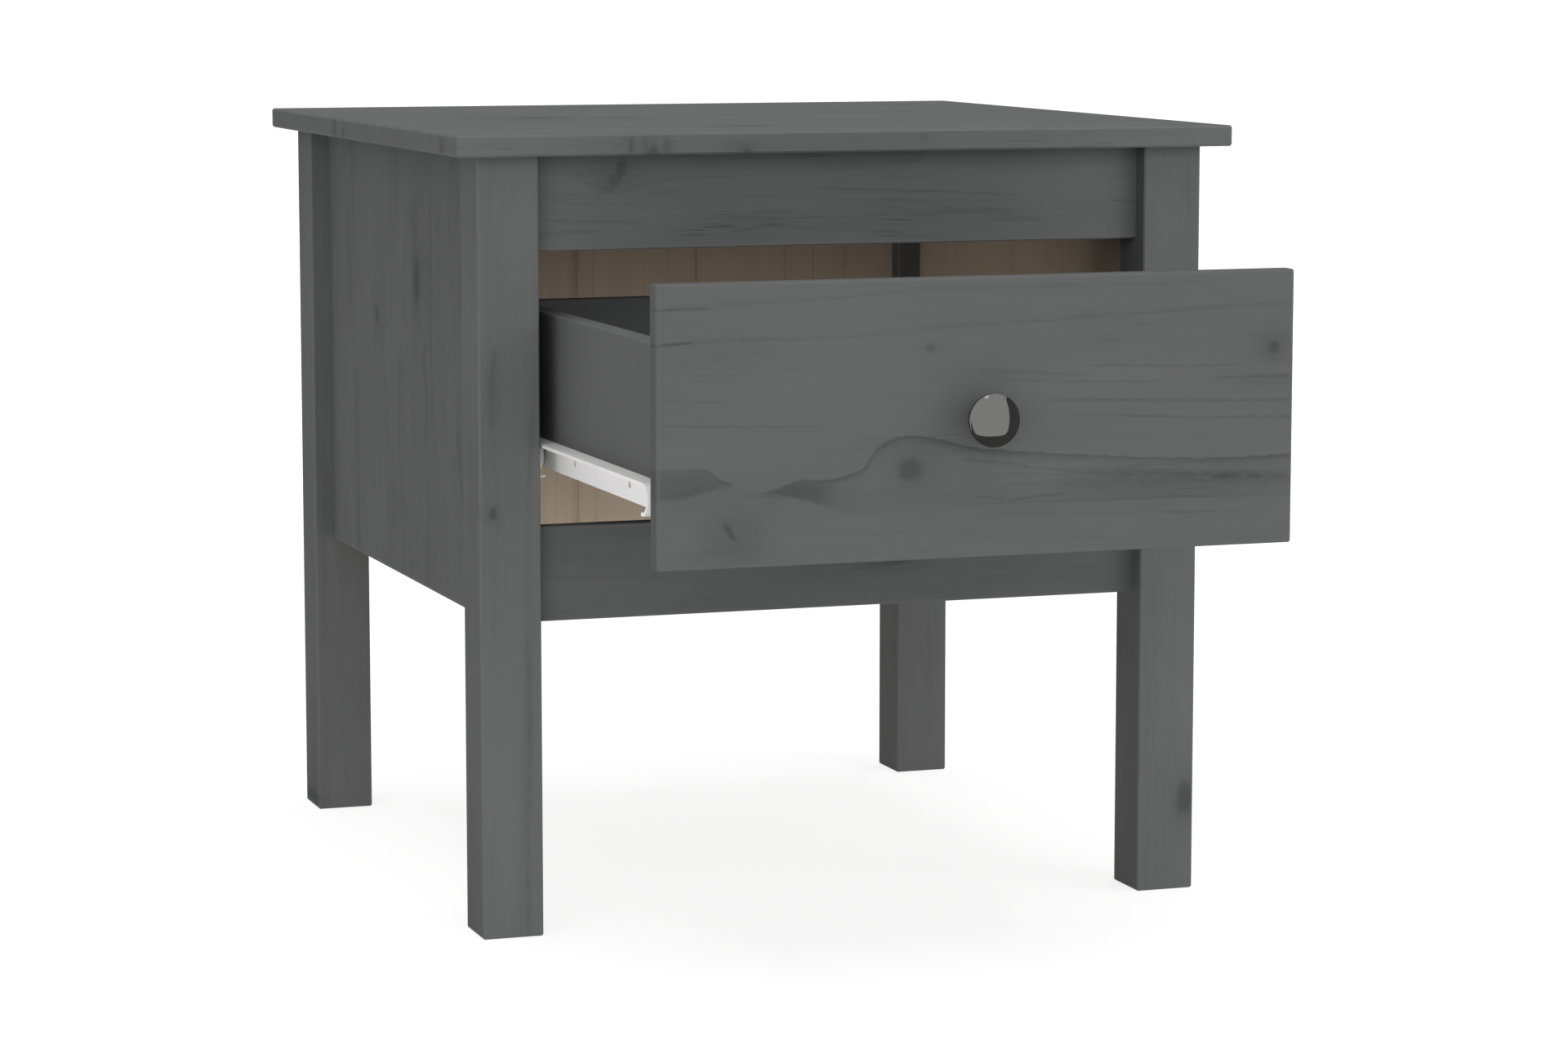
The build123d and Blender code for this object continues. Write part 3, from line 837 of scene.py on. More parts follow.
# ---- Wooden boards ----------------------------------------------------------------------------
@dataclass
class Board:
    """One wooden node: how its grain lies, what covers it and the marks that it shows."""

    node: str
    grain: Grain
    figure: Figure = Figure()
    paint: Paint = Paint.ALL_ROUND
    wood: Wood = GREY_STAIN
    knots: tuple[Knot, ...] = ()
    streaks: tuple[Streak, ...] = ()
    heart: Heart | None = None
    board_width: float = 0.0
    board_shift: float = 0.0
    outer_axis: int = 0
    outer_sign: int = 1
    # A factor on the board's colours: partly its own tone, partly painted light and shade, lighter
    # for boards that lie in shade and darker for boards that get more light.
    shade: float = 1.0
    # Painted shade on the bare inner faces: colour factors at the board's lower and upper end.
    inner_tone: Pair = (1.0, 1.0)

    def __post_init__(self) -> None:
        """Finds the board's centre and half its size, in metres."""
        low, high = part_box(self.node)
        self.centre, self.half = (low + high) / 2, (high - low) / 2

    def order(self, values: Sequence[object]) -> list[object]:
        """Puts three values, one for each axis of the frame, in board order."""
        return [values[axis] for axis in self.grain.value]

    def local(self, place: Triple) -> Triple:
        """Returns a place of the frame, given in millimetres, in board space and metres."""
        return tuple(self.order([place[axis] * MM - self.centre[axis] for axis in range(3)]))

    def material(self, effects: Effects) -> Material:
        """Builds the board's material.

        Args:
            effects: The shared shader groups.

        Returns:
            A material whose pattern reads Object coordinates only.
        """
        made, graph = new_material(f"pine_{self.node}")
        coordinates = graph.node("ShaderNodeTexCoord").outputs["Object"]
        centred = graph.vector_math("SUBTRACT", coordinates, tuple(self.centre))
        place = graph.join(*self.order(graph.split(centred)))
        fibre = graph.use(effects.fibre, place=place, seed=self.figure.seed)
        bend, core, dusk = self.knotted(graph, effects, place, fibre.ragged)
        ring, joint, tone = self.ringed(graph, effects, place, bend)
        contrast = self.wood.contrast
        dark = graph.total(
            DARKNESS.base,
            (fibre.cloud - 0.5) * (DARKNESS.cloud * contrast),
            (fibre.streak - 0.5) * (DARKNESS.streak * contrast),
            (tone - 0.5) * (DARKNESS.board * contrast),
            fibre.dash * (self.figure.dashes * contrast),
            ring * contrast,
            dusk * DARKNESS.dusk,
            joint * DARKNESS.joint,
            *self.lined(graph, effects, place, fibre.cloud, fibre.ragged),
        )
        dark = graph.math("ADD", dark, 0.0, clamp=True)
        half = tuple(self.half)
        edges = graph.use(
            effects.edges, place=centred, half_size=half, width=EDGE_WIDTH, uneven=fibre.cloud
        )
        colour = self.stained(graph, self.wood, dark, core, edges.wear)
        if self.paint is Paint.OUTER_FACE:
            # The bare inside gets painted shade along its length, lighter below and darker above.
            bare = self.aged(graph, place, self.stained(graph, BARE_PINE, dark, core, 0.0))
            colour = graph.mix(self.outside(graph, coordinates), bare, colour)
        roughness = graph.total(
            self.wood.roughness + ROUGHNESS.base,
            ring * ROUGHNESS.ring,
            fibre.streak * ROUGHNESS.streak,
            edges.wear * ROUGHNESS.wear,
        )
        height = graph.total(
            fibre.streak * RELIEF.streak,
            ring * RELIEF.ring,
            fibre.dash * RELIEF.dash,
            graph.math("MAXIMUM", core, joint) * RELIEF.hollow,
        )
        sheen = self.wood.sheen
        inputs = {"Base Color": colour, "Roughness": roughness, "Specular IOR Level": sheen}
        close_material(graph, inputs, height, WOOD_BUMP, WOOD_DEPTH)
        return made

    def knotted(
        self, graph: Graph, effects: Effects, place: Term, ragged: Term
    ) -> tuple[object, object, object]:
        """Places the knots.

        Args:
            graph: The material's graph.
            effects: The shared shader groups.
            place: The place in board space.
            ragged: The noise that frays a knot's rim.

        Returns:
            How far the knots bend the rings, their cores, and the dusk around them.
        """
        bend: object = 0.0
        core: object = 0.0
        dusk: object = 0.0
        for knot in self.knots:
            before, after = knot.reach
            placed = graph.use(
                effects.knot, place=place, centre=self.local(knot.place), along=knot.along * MM,
                across=knot.across * MM, deep=knot.deep * MM, strength=knot.strength,
                turn=math.radians(knot.turn), lift=knot.lift * MM, reach_before=before * MM,
                reach_after=after * MM, ragged=ragged, fray=knot.fray,
            )
            bend = graph.math("ADD", bend, placed.bend)
            core = graph.math("MAXIMUM", core, placed.core)
            dusk = graph.math("MAXIMUM", dusk, placed.halo)
        return bend, core, dusk

    def ringed(
        self, graph: Graph, effects: Effects, place: Term, bend: object
    ) -> tuple[Term, object, object]:
        """Places the growth rings, and the glue joints where the board has them.

        Args:
            graph: The material's graph.
            effects: The shared shader groups.
            place: The place in board space.
            bend: How far the knots bend the rings.

        Returns:
            The rings, the glue joints, and each glued board's own tone.
        """
        figure = self.figure
        seed: object = figure.seed
        joint: object = 0.0
        tone: object = 0.5
        if self.board_width:
            glued = graph.use(
                effects.boards, place=place, board_width=self.board_width, shift=self.board_shift
            )
            place, joint, tone = glued.place, glued.joint, glued.tone
            seed = glued.seed + figure.seed
        rings = graph.use(
            effects.rings, place=place, bend=bend, pith_offset=figure.pith_offset,
            pith_depth=figure.pith_depth, main_ring=figure.main_ring,
            main_strength=figure.main_strength, spacing=figure.spacing, tilt=figure.tilt,
            warp=figure.warp, strength=figure.strength, seed=seed,
        )
        return rings.ring, joint, tone

    def lined(
        self, graph: Graph, effects: Effects, place: Term, sway: Term, breaks: Term
    ) -> list[Term]:
        """Places the single dark lines and the dark heart.

        Args:
            graph: The material's graph.
            effects: The shared shader groups.
            place: The place in board space.
            sway: Soft noise that bends the lines and mottles the heart.
            breaks: Fine noise that breaks the lines and roughens the heart's outline.

        Returns:
            How dark each of them is.
        """
        lines = [
            graph.use(
                effects.streak, place=place, start=self.local(streak.start),
                end=self.local(streak.end), width=streak.width * MM, strength=streak.strength,
                wobble=sway, breaks=breaks,
            ).dark
            for streak in self.streaks
        ]
        if self.heart:
            lines.append(self.hearted(graph, place, self.heart, sway, breaks))
        return lines

    def hearted(self, graph: Graph, place: Term, heart: Heart, sway: Term, fray: Term) -> Term:
        """Draws the dark heart between its two bowed rings.

        Args:
            graph: The material's graph.
            place: The place in board space.
            heart: The heart's outline and strengths.
            sway: Soft noise that mottles it.
            fray: Fine noise that roughens its outline.

        Returns:
            How dark the heart is.
        """
        along_axis, across_axis, _ = self.grain.value
        along, across, _ = graph.split(place)
        at = (along + self.centre[along_axis]) * (1 / MM)
        level = (across + self.centre[across_axis]) * (1 / MM)
        height = level + (fray - 0.5) * HEART_FRAY
        under = graph.curve(at, heart.upper) - height
        over = height - graph.curve(at, heart.lower)
        fade = (graph.math("MAXIMUM", under, 0.0) * -HEART_FADE).exponent()
        line = graph.ramp(under, *HEART_RING) * fade * graph.curve(at, heart.line)
        inside = graph.ramp(under, *HEART_TOP) * graph.ramp(over, *HEART_FOOT)
        fill = inside * graph.ramp(sway, *HEART_MOTTLE) * graph.curve(at, heart.fill)
        return graph.math("MAXIMUM", line, fill)

    def outside(self, graph: Graph, coordinates: NodeSocket) -> Term:
        """Tells the board's outer face from the rest.

        Args:
            graph: The material's graph.
            coordinates: The Object coordinates.

        Returns:
            1 on the outer face and 0 behind it.
        """
        sign, axis = float(self.outer_sign), self.outer_axis
        face = (self.centre[axis] + sign * self.half[axis]) * sign
        position = graph.split(coordinates)[axis] * sign
        return graph.ramp(position, *(face - depth for depth in PAINT_EDGE))

    def stained(self, graph: Graph, wood: Wood, dark: Term, core: object, wear: object) -> Term:
        """Colours the wood.

        Args:
            graph: The material's graph.
            wood: Its colours.
            dark: How dark it is between its soft and its dense colour.
            core: Where the knots' cores are.
            wear: Where its edges are rubbed.

        Returns:
            The colour, with dark knots and lighter, rubbed edges.
        """
        colours = (wood.early, wood.late, wood.knot)
        # The shade factor scales the colours: partly the board's tone, partly painted light and
        # shade.
        early, late, knot = (tuple(part * self.shade for part in colour) for colour in colours)
        rubbed = tuple(min(1.0, part * EDGE_LIGHTER) for part in early)
        knotted = graph.mix(core, graph.mix(dark, early, late), knot)
        return graph.mix(wear * EDGE_COVER, knotted, rubbed)

    def aged(self, graph: Graph, place: Term, bare: Term) -> Term:
        """Paints shade on bare wood along the board, scaling its colour from its lower end to its
        upper end.

        Args:
            graph: The material's graph.
            place: The place in board space.
            bare: The bare wood's colour.

        Returns:
            The colour with its painted shade.
        """
        half = self.half[self.grain.value[0]]
        tone = graph.scale(graph.split(place)[0], -half, half, *self.inner_tone)
        return graph.vector_math("MULTIPLY", bare, graph.join(tone, tone, tone))

    def dress(self, frame: dict, effects: Effects) -> None:
        """Gives the node its material.

        Args:
            effects: The shared shader groups.
        """
        put_material(frame["nodes"][self.node], self.material(effects))
        counts = (len(self.knots), len(self.streaks))
        LOG.info("board %s: %s, %s knots, %s streaks", self.node, self.paint.value, *counts)


def face_streaks(axis: int, level: float, *rows: Sequence[float]) -> tuple[Streak, ...]:
    """Returns the dark lines of an upright face.

    Args:
        axis: The axis that the face looks along, 0 for X or 1 for Y.
        level: Where the face lies on that axis, in millimetres.
        *rows: Each line's start and its end, both as a place along the face and a height, and then
            its width and its strength.

    Returns:
        The lines.
    """
    streaks = []
    for row in rows:
        spots = (row[0:2], row[2:4])
        start, end = ((level, *spot) if axis == 0 else (spot[0], level, spot[1]) for spot in spots)
        streaks.append(Streak(start, end, row[4], row[5]))
    return tuple(streaks)


def metal_material(finish: Metal, effects: Effects) -> Material:
    """Builds a metal, coated or moulded finish.

    Args:
        finish: Its colours, sheen and marks.
        effects: The shared shader groups.

    Returns:
        The material.
    """
    made, graph = new_material(finish.name)
    coordinates = graph.node("ShaderNodeTexCoord").outputs["Object"]
    marks = graph.use(effects.marks, place=coordinates, scale=finish.scale)
    spread = (marks.peel - 0.5) * (finish.roughness * 0.5)
    inputs = {
        "Base Color": graph.mix(marks.rub * SPOT_COVER, finish.colour, finish.mark),
        "Roughness": spread + finish.roughness + marks.rub * SPOT_ROUGHNESS,
        "Metallic": finish.metallic,
        "Specular IOR Level": finish.specular,
    }
    close_material(graph, inputs, marks.peel, finish.bump, METAL_DEPTH)
    return made


# ---- Studio -----------------------------------------------------------------------------------
@dataclass(frozen=True)
class SoftBox:
    """A square area light that looks at a point of the table, and that metal doesn't mirror."""

    name: str
    place: Triple
    size: float
    watts: float
    aim: Triple = (0.0, -0.15, 0.25)

    def build(self) -> None:
        """Adds the lamp to the scene."""
        lamp = bpy.data.lights.new(self.name, "AREA")
        lamp.shape = "SQUARE"
        lamp.size = self.size
        lamp.energy = self.watts
        holder = place_object(self.name, lamp)
        holder.location = self.place
        holder.rotation_mode = "QUATERNION"
        towards = Vector(self.aim) - Vector(self.place)
        holder.rotation_quaternion = towards.to_track_quat("-Z", "Y")
        holder.visible_glossy = False
        holder.visible_camera = False


@dataclass(frozen=True)
class Card:
    """A card that only metal mirrors: a dark one shapes a highlight, a bright one adds it."""

    name: str
    corners: tuple[Triple, ...]
    glow: float = 0.16
    tint: Triple = (1.0, 1.0, 0.95)

    def build(self) -> None:
        """Hangs the card."""
        card = place_mesh(self.name, self.corners, [tuple(range(len(self.corners)))])
        made, graph = new_material(self.name)
        glow = graph.term("ShaderNodeEmission", (*self.tint, 1.0), self.glow)
        graph.node("ShaderNodeOutputMaterial", glow)
        put_material(card, made)
        card.visible_camera = card.visible_diffuse = False
        card.visible_shadow = card.visible_transmission = False


@dataclass
class Studio:
    """The camera, the pale floor, the even sky and the soft boxes.

    Attributes:
        camera_place: Where the camera stands.
        camera_turn: How far it turns to its right, in degrees.
        camera_dip: How far it looks down, in degrees.
        lens: Its focal length, in millimetres.
        sensor: The width of its sensor, in millimetres.
        sky: The colour of the sky's light.
        floor_size: How wide the floor is.
        floor_colour: The colour of the floor, for the light that it throws on the table.
        floor_lift: How much it glows, for that light.
        floor_shown: The colour of the floor where it is seen.
        floor_glow: The distances between which its glow changes, and the glow at each.
        boxes: The lights.
        cards: The cards that the knob mirrors.
    """

    camera_place: Triple = (-0.91699, -2.76770, 0.59234)
    camera_turn: float = 19.07
    camera_dip: float = 7.34
    lens: float = 101.14
    sensor: float = 36.0
    sky: Triple = (0.450, 0.434, 0.440)
    floor_size: float = 30.0
    floor_colour: Triple = (0.80, 0.80, 0.80)
    floor_lift: float = 0.22
    floor_shown: Triple = (0.34, 0.34, 0.34)
    floor_glow: tuple[float, float, float, float] = (0.7, 2.6, 0.80, 1.0)
    boxes: tuple[SoftBox, ...] = (
        SoftBox("front_box", (0.0, -7.0, 1.4), 5.0, 84.0),
        SoftBox("front_left_box", (-4.1, -5.7, 1.6), 4.0, 96.0),
        SoftBox("front_right_box", (5.0, -5.0, 1.6), 4.0, 122.0),
        SoftBox("top_box", (0.0, -1.0, 6.0), 5.0, 160.0),
        SoftBox("back_box", (0.0, 7.0, 1.6), 5.0, 90.0),
    )
    cards: tuple[Card, ...] = (
        Card(
            "right_flag",
            (
                (1.2, -1.34, 0.002), (1.2, -1.33, 0.55), (1.2, -1.16, 1.16), (1.2, -0.93, 1.47),
                (1.2, -0.30, 2.2), (1.2, 1.6, 2.2), (1.2, 1.6, 0.002),
            ),
        ),
        Card(
            "low_flag",
            (
                (-9.0, -5.6, 0.002), (-0.46, -0.95, 0.002), (-0.25, -0.81, 0.002),
                (0.10, -0.82, 0.002), (0.40, -0.77, 0.002), (0.60, -0.88, 0.002),
                (1.2, -1.34, 0.002), (1.2, 0.9, 0.002), (-9.0, 0.9, 0.002),
            ),
        ),
        Card(
            "crown_glint",
            ((-0.16, -1.61, 1.99), (0.16, -1.61, 1.99), (0.16, -1.43, 2.10), (-0.16, -1.43, 2.10)),
            4.2,
        ),
        Card(
            "rim_glint",
            ((1.12, -0.90, 1.30), (1.20, -0.72, 1.30), (1.18, -0.72, 1.42), (1.10, -0.90, 1.42)),
            2.0,
        ),
    )

    def build(self) -> None:
        """Builds the whole studio."""
        self.build_camera()
        self.build_sky()
        self.build_floor()
        for item in (*self.boxes, *self.cards):
            item.build()
        bpy.context.scene.view_settings.view_transform = "Standard"

    def build_camera(self) -> None:
        """Places the camera, level with the table's upper half and to its left."""
        data = bpy.data.cameras.new("camera")
        data.lens = self.lens
        data.sensor_width = self.sensor
        camera = place_object("camera", data)
        camera.location = self.camera_place
        tilt, turn = math.radians(90.0 - self.camera_dip), -math.radians(self.camera_turn)
        camera.rotation_euler = (tilt, 0.0, turn)
        bpy.context.scene.camera = camera

    def seen_directly(self, graph: Graph) -> Term:
        """Tells the rays that see a thing from those that light the table by it.

        Args:
            graph: The graph of the sky or the floor.

        Returns:
            1 on camera, glossy and transmission rays, and 0 on the others.
        """
        path = graph.node("ShaderNodeLightPath").outputs
        direct = graph.math("ADD", path["Is Camera Ray"], path["Is Glossy Ray"])
        return graph.math("ADD", direct, path["Is Transmission Ray"], clamp=True)

    def build_sky(self) -> None:
        """An even sky that lights softly and shows as plain white."""
        world = bpy.data.worlds.new("studio_sky")
        world.use_nodes = True
        bpy.context.scene.world = world
        graph = Graph(world.node_tree)
        light = graph.term("ShaderNodeBackground", (*self.sky, 1.0))
        white = graph.term("ShaderNodeBackground", WHITE)
        shown = graph.term("ShaderNodeMixShader", self.seen_directly(graph), light, white)
        graph.node("ShaderNodeOutputWorld", shown)

    def matt(self, graph: Graph, colour: Triple, glow: object) -> Term:
        """Returns a matt shader of a colour, with a glow added to it."""
        parts = (("ShaderNodeBsdfDiffuse", (*colour, 1.0)), ("ShaderNodeEmission", WHITE, glow))
        return graph.term("ShaderNodeAddShader", *(graph.term(*part) for part in parts))

    def build_floor(self) -> None:
        """A pale floor that shows white where it is lit and keeps the table's shadow."""
        half = self.floor_size / 2
        corners = [(-half, -half, 0), (half, -half, 0), (half, half, 0), (-half, half, 0)]
        floor = place_mesh("floor", corners, [(0, 1, 2, 3)])
        made, graph = new_material("floor_paper")
        paper = self.matt(graph, self.floor_colour, self.floor_lift)
        away = graph.length(graph.node("ShaderNodeTexCoord").outputs["Object"])
        seen = self.matt(graph, self.floor_shown, graph.ramp(away, *self.floor_glow))
        mixed = graph.term("ShaderNodeMixShader", self.seen_directly(graph), paper, seen)
        glossy = graph.node("ShaderNodeLightPath").outputs["Is Glossy Ray"]
        mirrored = graph.term("ShaderNodeEmission", WHITE, 1.0)
        last = graph.term("ShaderNodeMixShader", glossy, mixed, mirrored)
        graph.node("ShaderNodeOutputMaterial", last)
        put_material(floor, made)


# ---- The table --------------------------------------------------------------------------------
def case_boards() -> list[Board]:
    """Lists the wooden boards of the case, with the grain and the marks of each.

    Returns:
        The boards.
    """
    leg = Grain.ALONG_Z_FACE_Y
    return [
        Board(
            "table_top", Grain.ALONG_X_FACE_Z,
            Figure(0.004, 0.020, 0.034, 0.35, 0.0055, tilt=0.03, dashes=0.42, seed=2.2),
            knots=(
                Knot((-129, -249, 475), 3.4, 9.0, 1.00, deep=4.4, fray=1.8, reach=(12, 14)),
                Knot((-121, -249, 479), 3.0, 6.0, 0.50, deep=5.0, fray=2.2, reach=(12, 14)),
                Knot((-134, -249, 479), 2.4, 5.0, 0.42, deep=5.0, fray=2.2, reach=(12, 14)),
                Knot((-143, -249, 480), 1.6, 5.0, 0.70, deep=4.5, fray=1.8, reach=(12, 14)),
                Knot((-138, -249, 480), 17.0, 12.0, 0.20, deep=9.0, fray=2.8),
                Knot((-71, -249, 474), 3.4, 8.0, 1.00, deep=3.6, fray=1.8, reach=(12, 12)),
                Knot((-65, -249, 471), 1.8, 5.0, 0.70, deep=2.2, fray=1.8, reach=(12, 12)),
                Knot((-74, -249, 478), 12.0, 10.0, 0.18, deep=6.0, fray=2.8),
                Knot((-128, 6, 487), 9.0, 7.5, 0.85, fray=1.3, lift=6.0, reach=(30, 45)),
                Knot((-130, 8, 487), 30.0, 30.0, 0.30, fray=3.6),
                Knot((-74, -6, 487), 5.0, 5.0, 0.80, fray=1.3, reach=(20, 28)),
                Knot((-74, 0, 487), 18.0, 30.0, 0.22, fray=3.6),
                Knot((-38, -160, 487), 7.0, 6.0, 0.85, fray=1.3, lift=5.0, reach=(26, 34)),
                Knot((-38, -162, 487), 22.0, 22.0, 0.24, fray=3.6),
                Knot((185, 160, 487), 7.0, 5.0, 0.80, fray=1.3, reach=(24, 30)),
                Knot((96, 62, 487), 3.6, 3.2, 0.75, fray=1.3, reach=(16, 20)),
                Knot((44, -250, 482), 3.0, 5.0, 0.28, deep=1.8, fray=2.2),
                Knot((-250, 62, 480), 30.0, 5.0, 0.42, deep=9.0, fray=2.4),
                Knot((-250, 38, 476), 30.0, 3.0, 0.55, deep=5.0, fray=2.0),
                Knot((-250, -214, 477), 30.0, 4.0, 0.55, deep=7.0, fray=2.2),
            ),
            board_width=0.0925, board_shift=0.018, shade=1.08,
        ),
        Board(
            "leg_front_left", leg, Figure(0.030, 0.035, 0.050, 0.25, 0.006, seed=5.1),
            knots=(
                Knot((-227, -236, 260), 3.8, 2.8, 0.80, fray=2.6, reach=(20, 20)),
                Knot((-226, -236, 334), 30.0, 4.0, 0.20, fray=2.0),
            ),
            streaks=face_streaks(
                1, -236,
                (-205, 205, -206, -20, 1.8, 0.42), (-203, 330, -205, 190, 2.4, 0.22),
                (-223, 362, -228, 330, 1.1, 0.32), (-226, 338, -227, 308, 1.0, 0.26),
            ),
            shade=1.08,
        ),
        Board(
            "leg_front_right", leg, Figure(-0.028, 0.032, 0.046, 0.25, 0.006, seed=8.4),
            knots=(Knot((229, -236, 58), 10.0, 6.0, 0.85, reach=(25, 25)),),
            streaks=face_streaks(1, -236, (221, 200, 220, 90, 0.8, 0.25)),
            shade=1.05,
        ),
        Board(
            "leg_back_left", leg, Figure(0.032, 0.030, 0.047, 0.3, 0.006, seed=11.6),
            knots=(Knot((-234, 233, 7), 4.0, 2.5, 0.6),), shade=1.03,
        ),
        Board(
            "leg_back_right", leg, Figure(-0.034, 0.031, 0.047, 0.3, 0.006, seed=14.9), shade=1.05,
        ),
        Board(
            "upper_front_rail", Grain.ALONG_X_FACE_Y,
            Figure(0.024, 0.016, 0.031, 0.2, 0.006, dashes=0.60, seed=17.3),
            knots=(
                Knot((-142, -223, 463), 3.6, 6.0, 0.72, fray=2.6, turn=-25, reach=(18, 30)),
                Knot((-146, -223, 457), 3.6, 3.8, 0.72, fray=2.6, reach=(18, 30)),
                Knot((-150, -223, 453), 4.4, 2.6, 0.46, fray=2.6, reach=(18, 30)),
                Knot((-146, -223, 460), 20.0, 9.0, 0.22, fray=2.4),
            ),
            streaks=face_streaks(
                1, -223,
                (-30, 452, 135, 444, 0.9, 0.42), (-78, 433.5, -34, 431.5, 2.8, 0.34),
                (-60, 437.5, -22, 437, 1.8, 0.28), (60, 436, 118, 434, 2.6, 0.32),
                (92, 430.5, 134, 430, 1.8, 0.30), (-196, 435, -120, 431, 1.0, 0.30),
                (-196, 427, -150, 427, 1.0, 0.26), (-60, 447, 60, 441, 1.0, 0.16),
            ),
            wood=LIVELY_STAIN, shade=1.08,
        ),
        # The lower rail's shade factor darkens it where the floor lights it: painted shade.
        Board(
            "lower_front_rail", Grain.ALONG_X_FACE_Y,
            Figure(-0.026, 0.018, 0.034, 0.25, 0.006, seed=20.5),
            knots=(Knot((35, -223, 217), 9.0, 1.6, 0.6, reach=(20, 20)),),
            streaks=face_streaks(1, -223, (-196, 219, -100, 216, 1.0, 0.22)),
            shade=0.94,
        ),
        Board(
            "side_panel_left", Grain.ALONG_Z_FACE_X,
            Figure(0.006, 0.018, 0.032, 0.3, 0.006, dashes=0.55, seed=23.7),
            # Painted shade on the bare inside: lighter at its foot, darker at its top.
            paint=Paint.OUTER_FACE, outer_axis=0, outer_sign=-1, inner_tone=(1.15, 0.75),
            board_width=0.104, board_shift=0.0255, shade=1.06,
            knots=(
                Knot((-222, -40, 386), 15.0, 7.5, 0.90, reach=(40, 40)),
                Knot((-222, 67, 357), 6.0, 4.0, 0.70, reach=(20, 20)),
                Knot((-222, -155, 395), 8.0, 4.5, 0.60, reach=(20, 20)),
            ),
            streaks=face_streaks(
                0, -222,
                (126, 320, 124, 180, 4.5, 0.40), (141, 398, 141, 352, 4.0, 0.36),
                (-66, 345, -62, 190, 3.5, 0.20), (-76, 450, -73, 320, 3.5, 0.24),
                (-57, 350, -57, 325, 3.0, 0.28), (95, 280, 96, 215, 2.4, 0.18),
                (-142, 300, -142, 272, 3.0, 0.20),
            ),
        ),
        Board(
            "side_panel_right", Grain.ALONG_Z_FACE_X,
            Figure(0.008, 0.018, 0.030, 0.35, 0.006, seed=26.2),
            # Painted shade on the bare inside: lighter at its foot, darker at its top.
            paint=Paint.OUTER_FACE, outer_axis=0, outer_sign=1, inner_tone=(1.15, 0.75),
            board_width=0.104, board_shift=0.0255,
            knots=(Knot((222, 60, 300), 9.0, 6.0, 0.8), Knot((222, -90, 420), 5.0, 4.0, 0.7)),
        ),
        Board(
            "back_panel", Grain.ALONG_Z_FACE_Y, Figure(0.008, 0.018, 0.030, 0.35, 0.006, seed=29.8),
            # Painted shade on the bare inside: lighter at its foot, strongly darker at its top.
            paint=Paint.OUTER_FACE, outer_axis=1, outer_sign=1, inner_tone=(1.26, 0.52),
            board_width=0.0885, board_shift=-0.041,
            knots=(Knot((90, 226, 350), 8.0, 6.0, 0.8), Knot((-120, 226, 250), 6.0, 5.0, 0.7)),
            streaks=face_streaks(
                1, 214,
                (-42, 560, -42, 100, 3.2, 0.58), (-28, 520, -28, 120, 1.4, 0.34),
                (46, 520, 47, 120, 1.4, 0.34), (115, 520, 114, 120, 1.2, 0.45),
                (160, 520, 160, 120, 1.6, 0.36),
            ),
        ),
        Board(
            "runner_strip_left", Grain.ALONG_Y_FACE_X,
            Figure(0.02, 0.02, 0.03, 0.3, 0.005, seed=32.1), wood=BARE_PINE,
        ),
        Board(
            "runner_strip_right", Grain.ALONG_Y_FACE_X,
            Figure(-0.02, 0.02, 0.03, 0.3, 0.005, seed=35.5), wood=BARE_PINE,
        ),
        Board(
            "rail_dowels", Grain.ALONG_X_FACE_Z,
            Figure(0.0, 0.004, 0.010, 0.3, 0.002), wood=BEECH,
        ),
    ]


DRAWER_HEART = Heart(
    upper=(
        (-193, 309.5), (-172, 309.5), (-163, 307.5), (-158, 304), (-152, 301), (-140, 298),
        (-130, 295.6),
        (-118, 298.5), (-106, 301.0), (-98, 300.2), (-90, 300.6), (-80, 303), (-73, 305.5),
        (-70, 308.5),
        (-66, 314), (-60, 319.3), (-54, 322), (-46, 323.5), (-36, 322.7), (-16, 318.2), (0, 314.8),
        (20, 312.5), (60, 309.3), (100, 306.2), (160, 304), (193, 305),
    ),
    lower=(
        (-193, 292), (-180, 293), (-170, 295), (-160, 297), (-152, 299.5), (-145, 300.5),
        (-135, 297.5), (-128, 294.6),
        (-115, 291.5), (-104, 289), (-95, 286), (-87, 282.5), (-76, 280.5), (0, 284), (60, 282.5),
        (193, 281),
    ),
    line=(
        (-193, 0.42), (-165, 0.65), (-156, 0.85), (-148, 0.15), (-138, 0.0), (-128, 0.60),
        (-110, 0.85), (-85, 0.85),
        (-60, 0.85), (-30, 0.95), (10, 1.00), (60, 0.75), (120, 0.70), (165, 0.95), (193, 0.75),
    ),
    fill=(
        (-193, 0.44), (-165, 0.58), (-152, 0.36), (-142, 0.0), (-130, 0.55), (-112, 0.70),
        (-100, 0.60), (-88, 0.22),
        (-72, 0.10), (-20, 0.10), (30, 0.06), (52, 0.14), (100, 0.20), (193, 0.16),
    ),
)


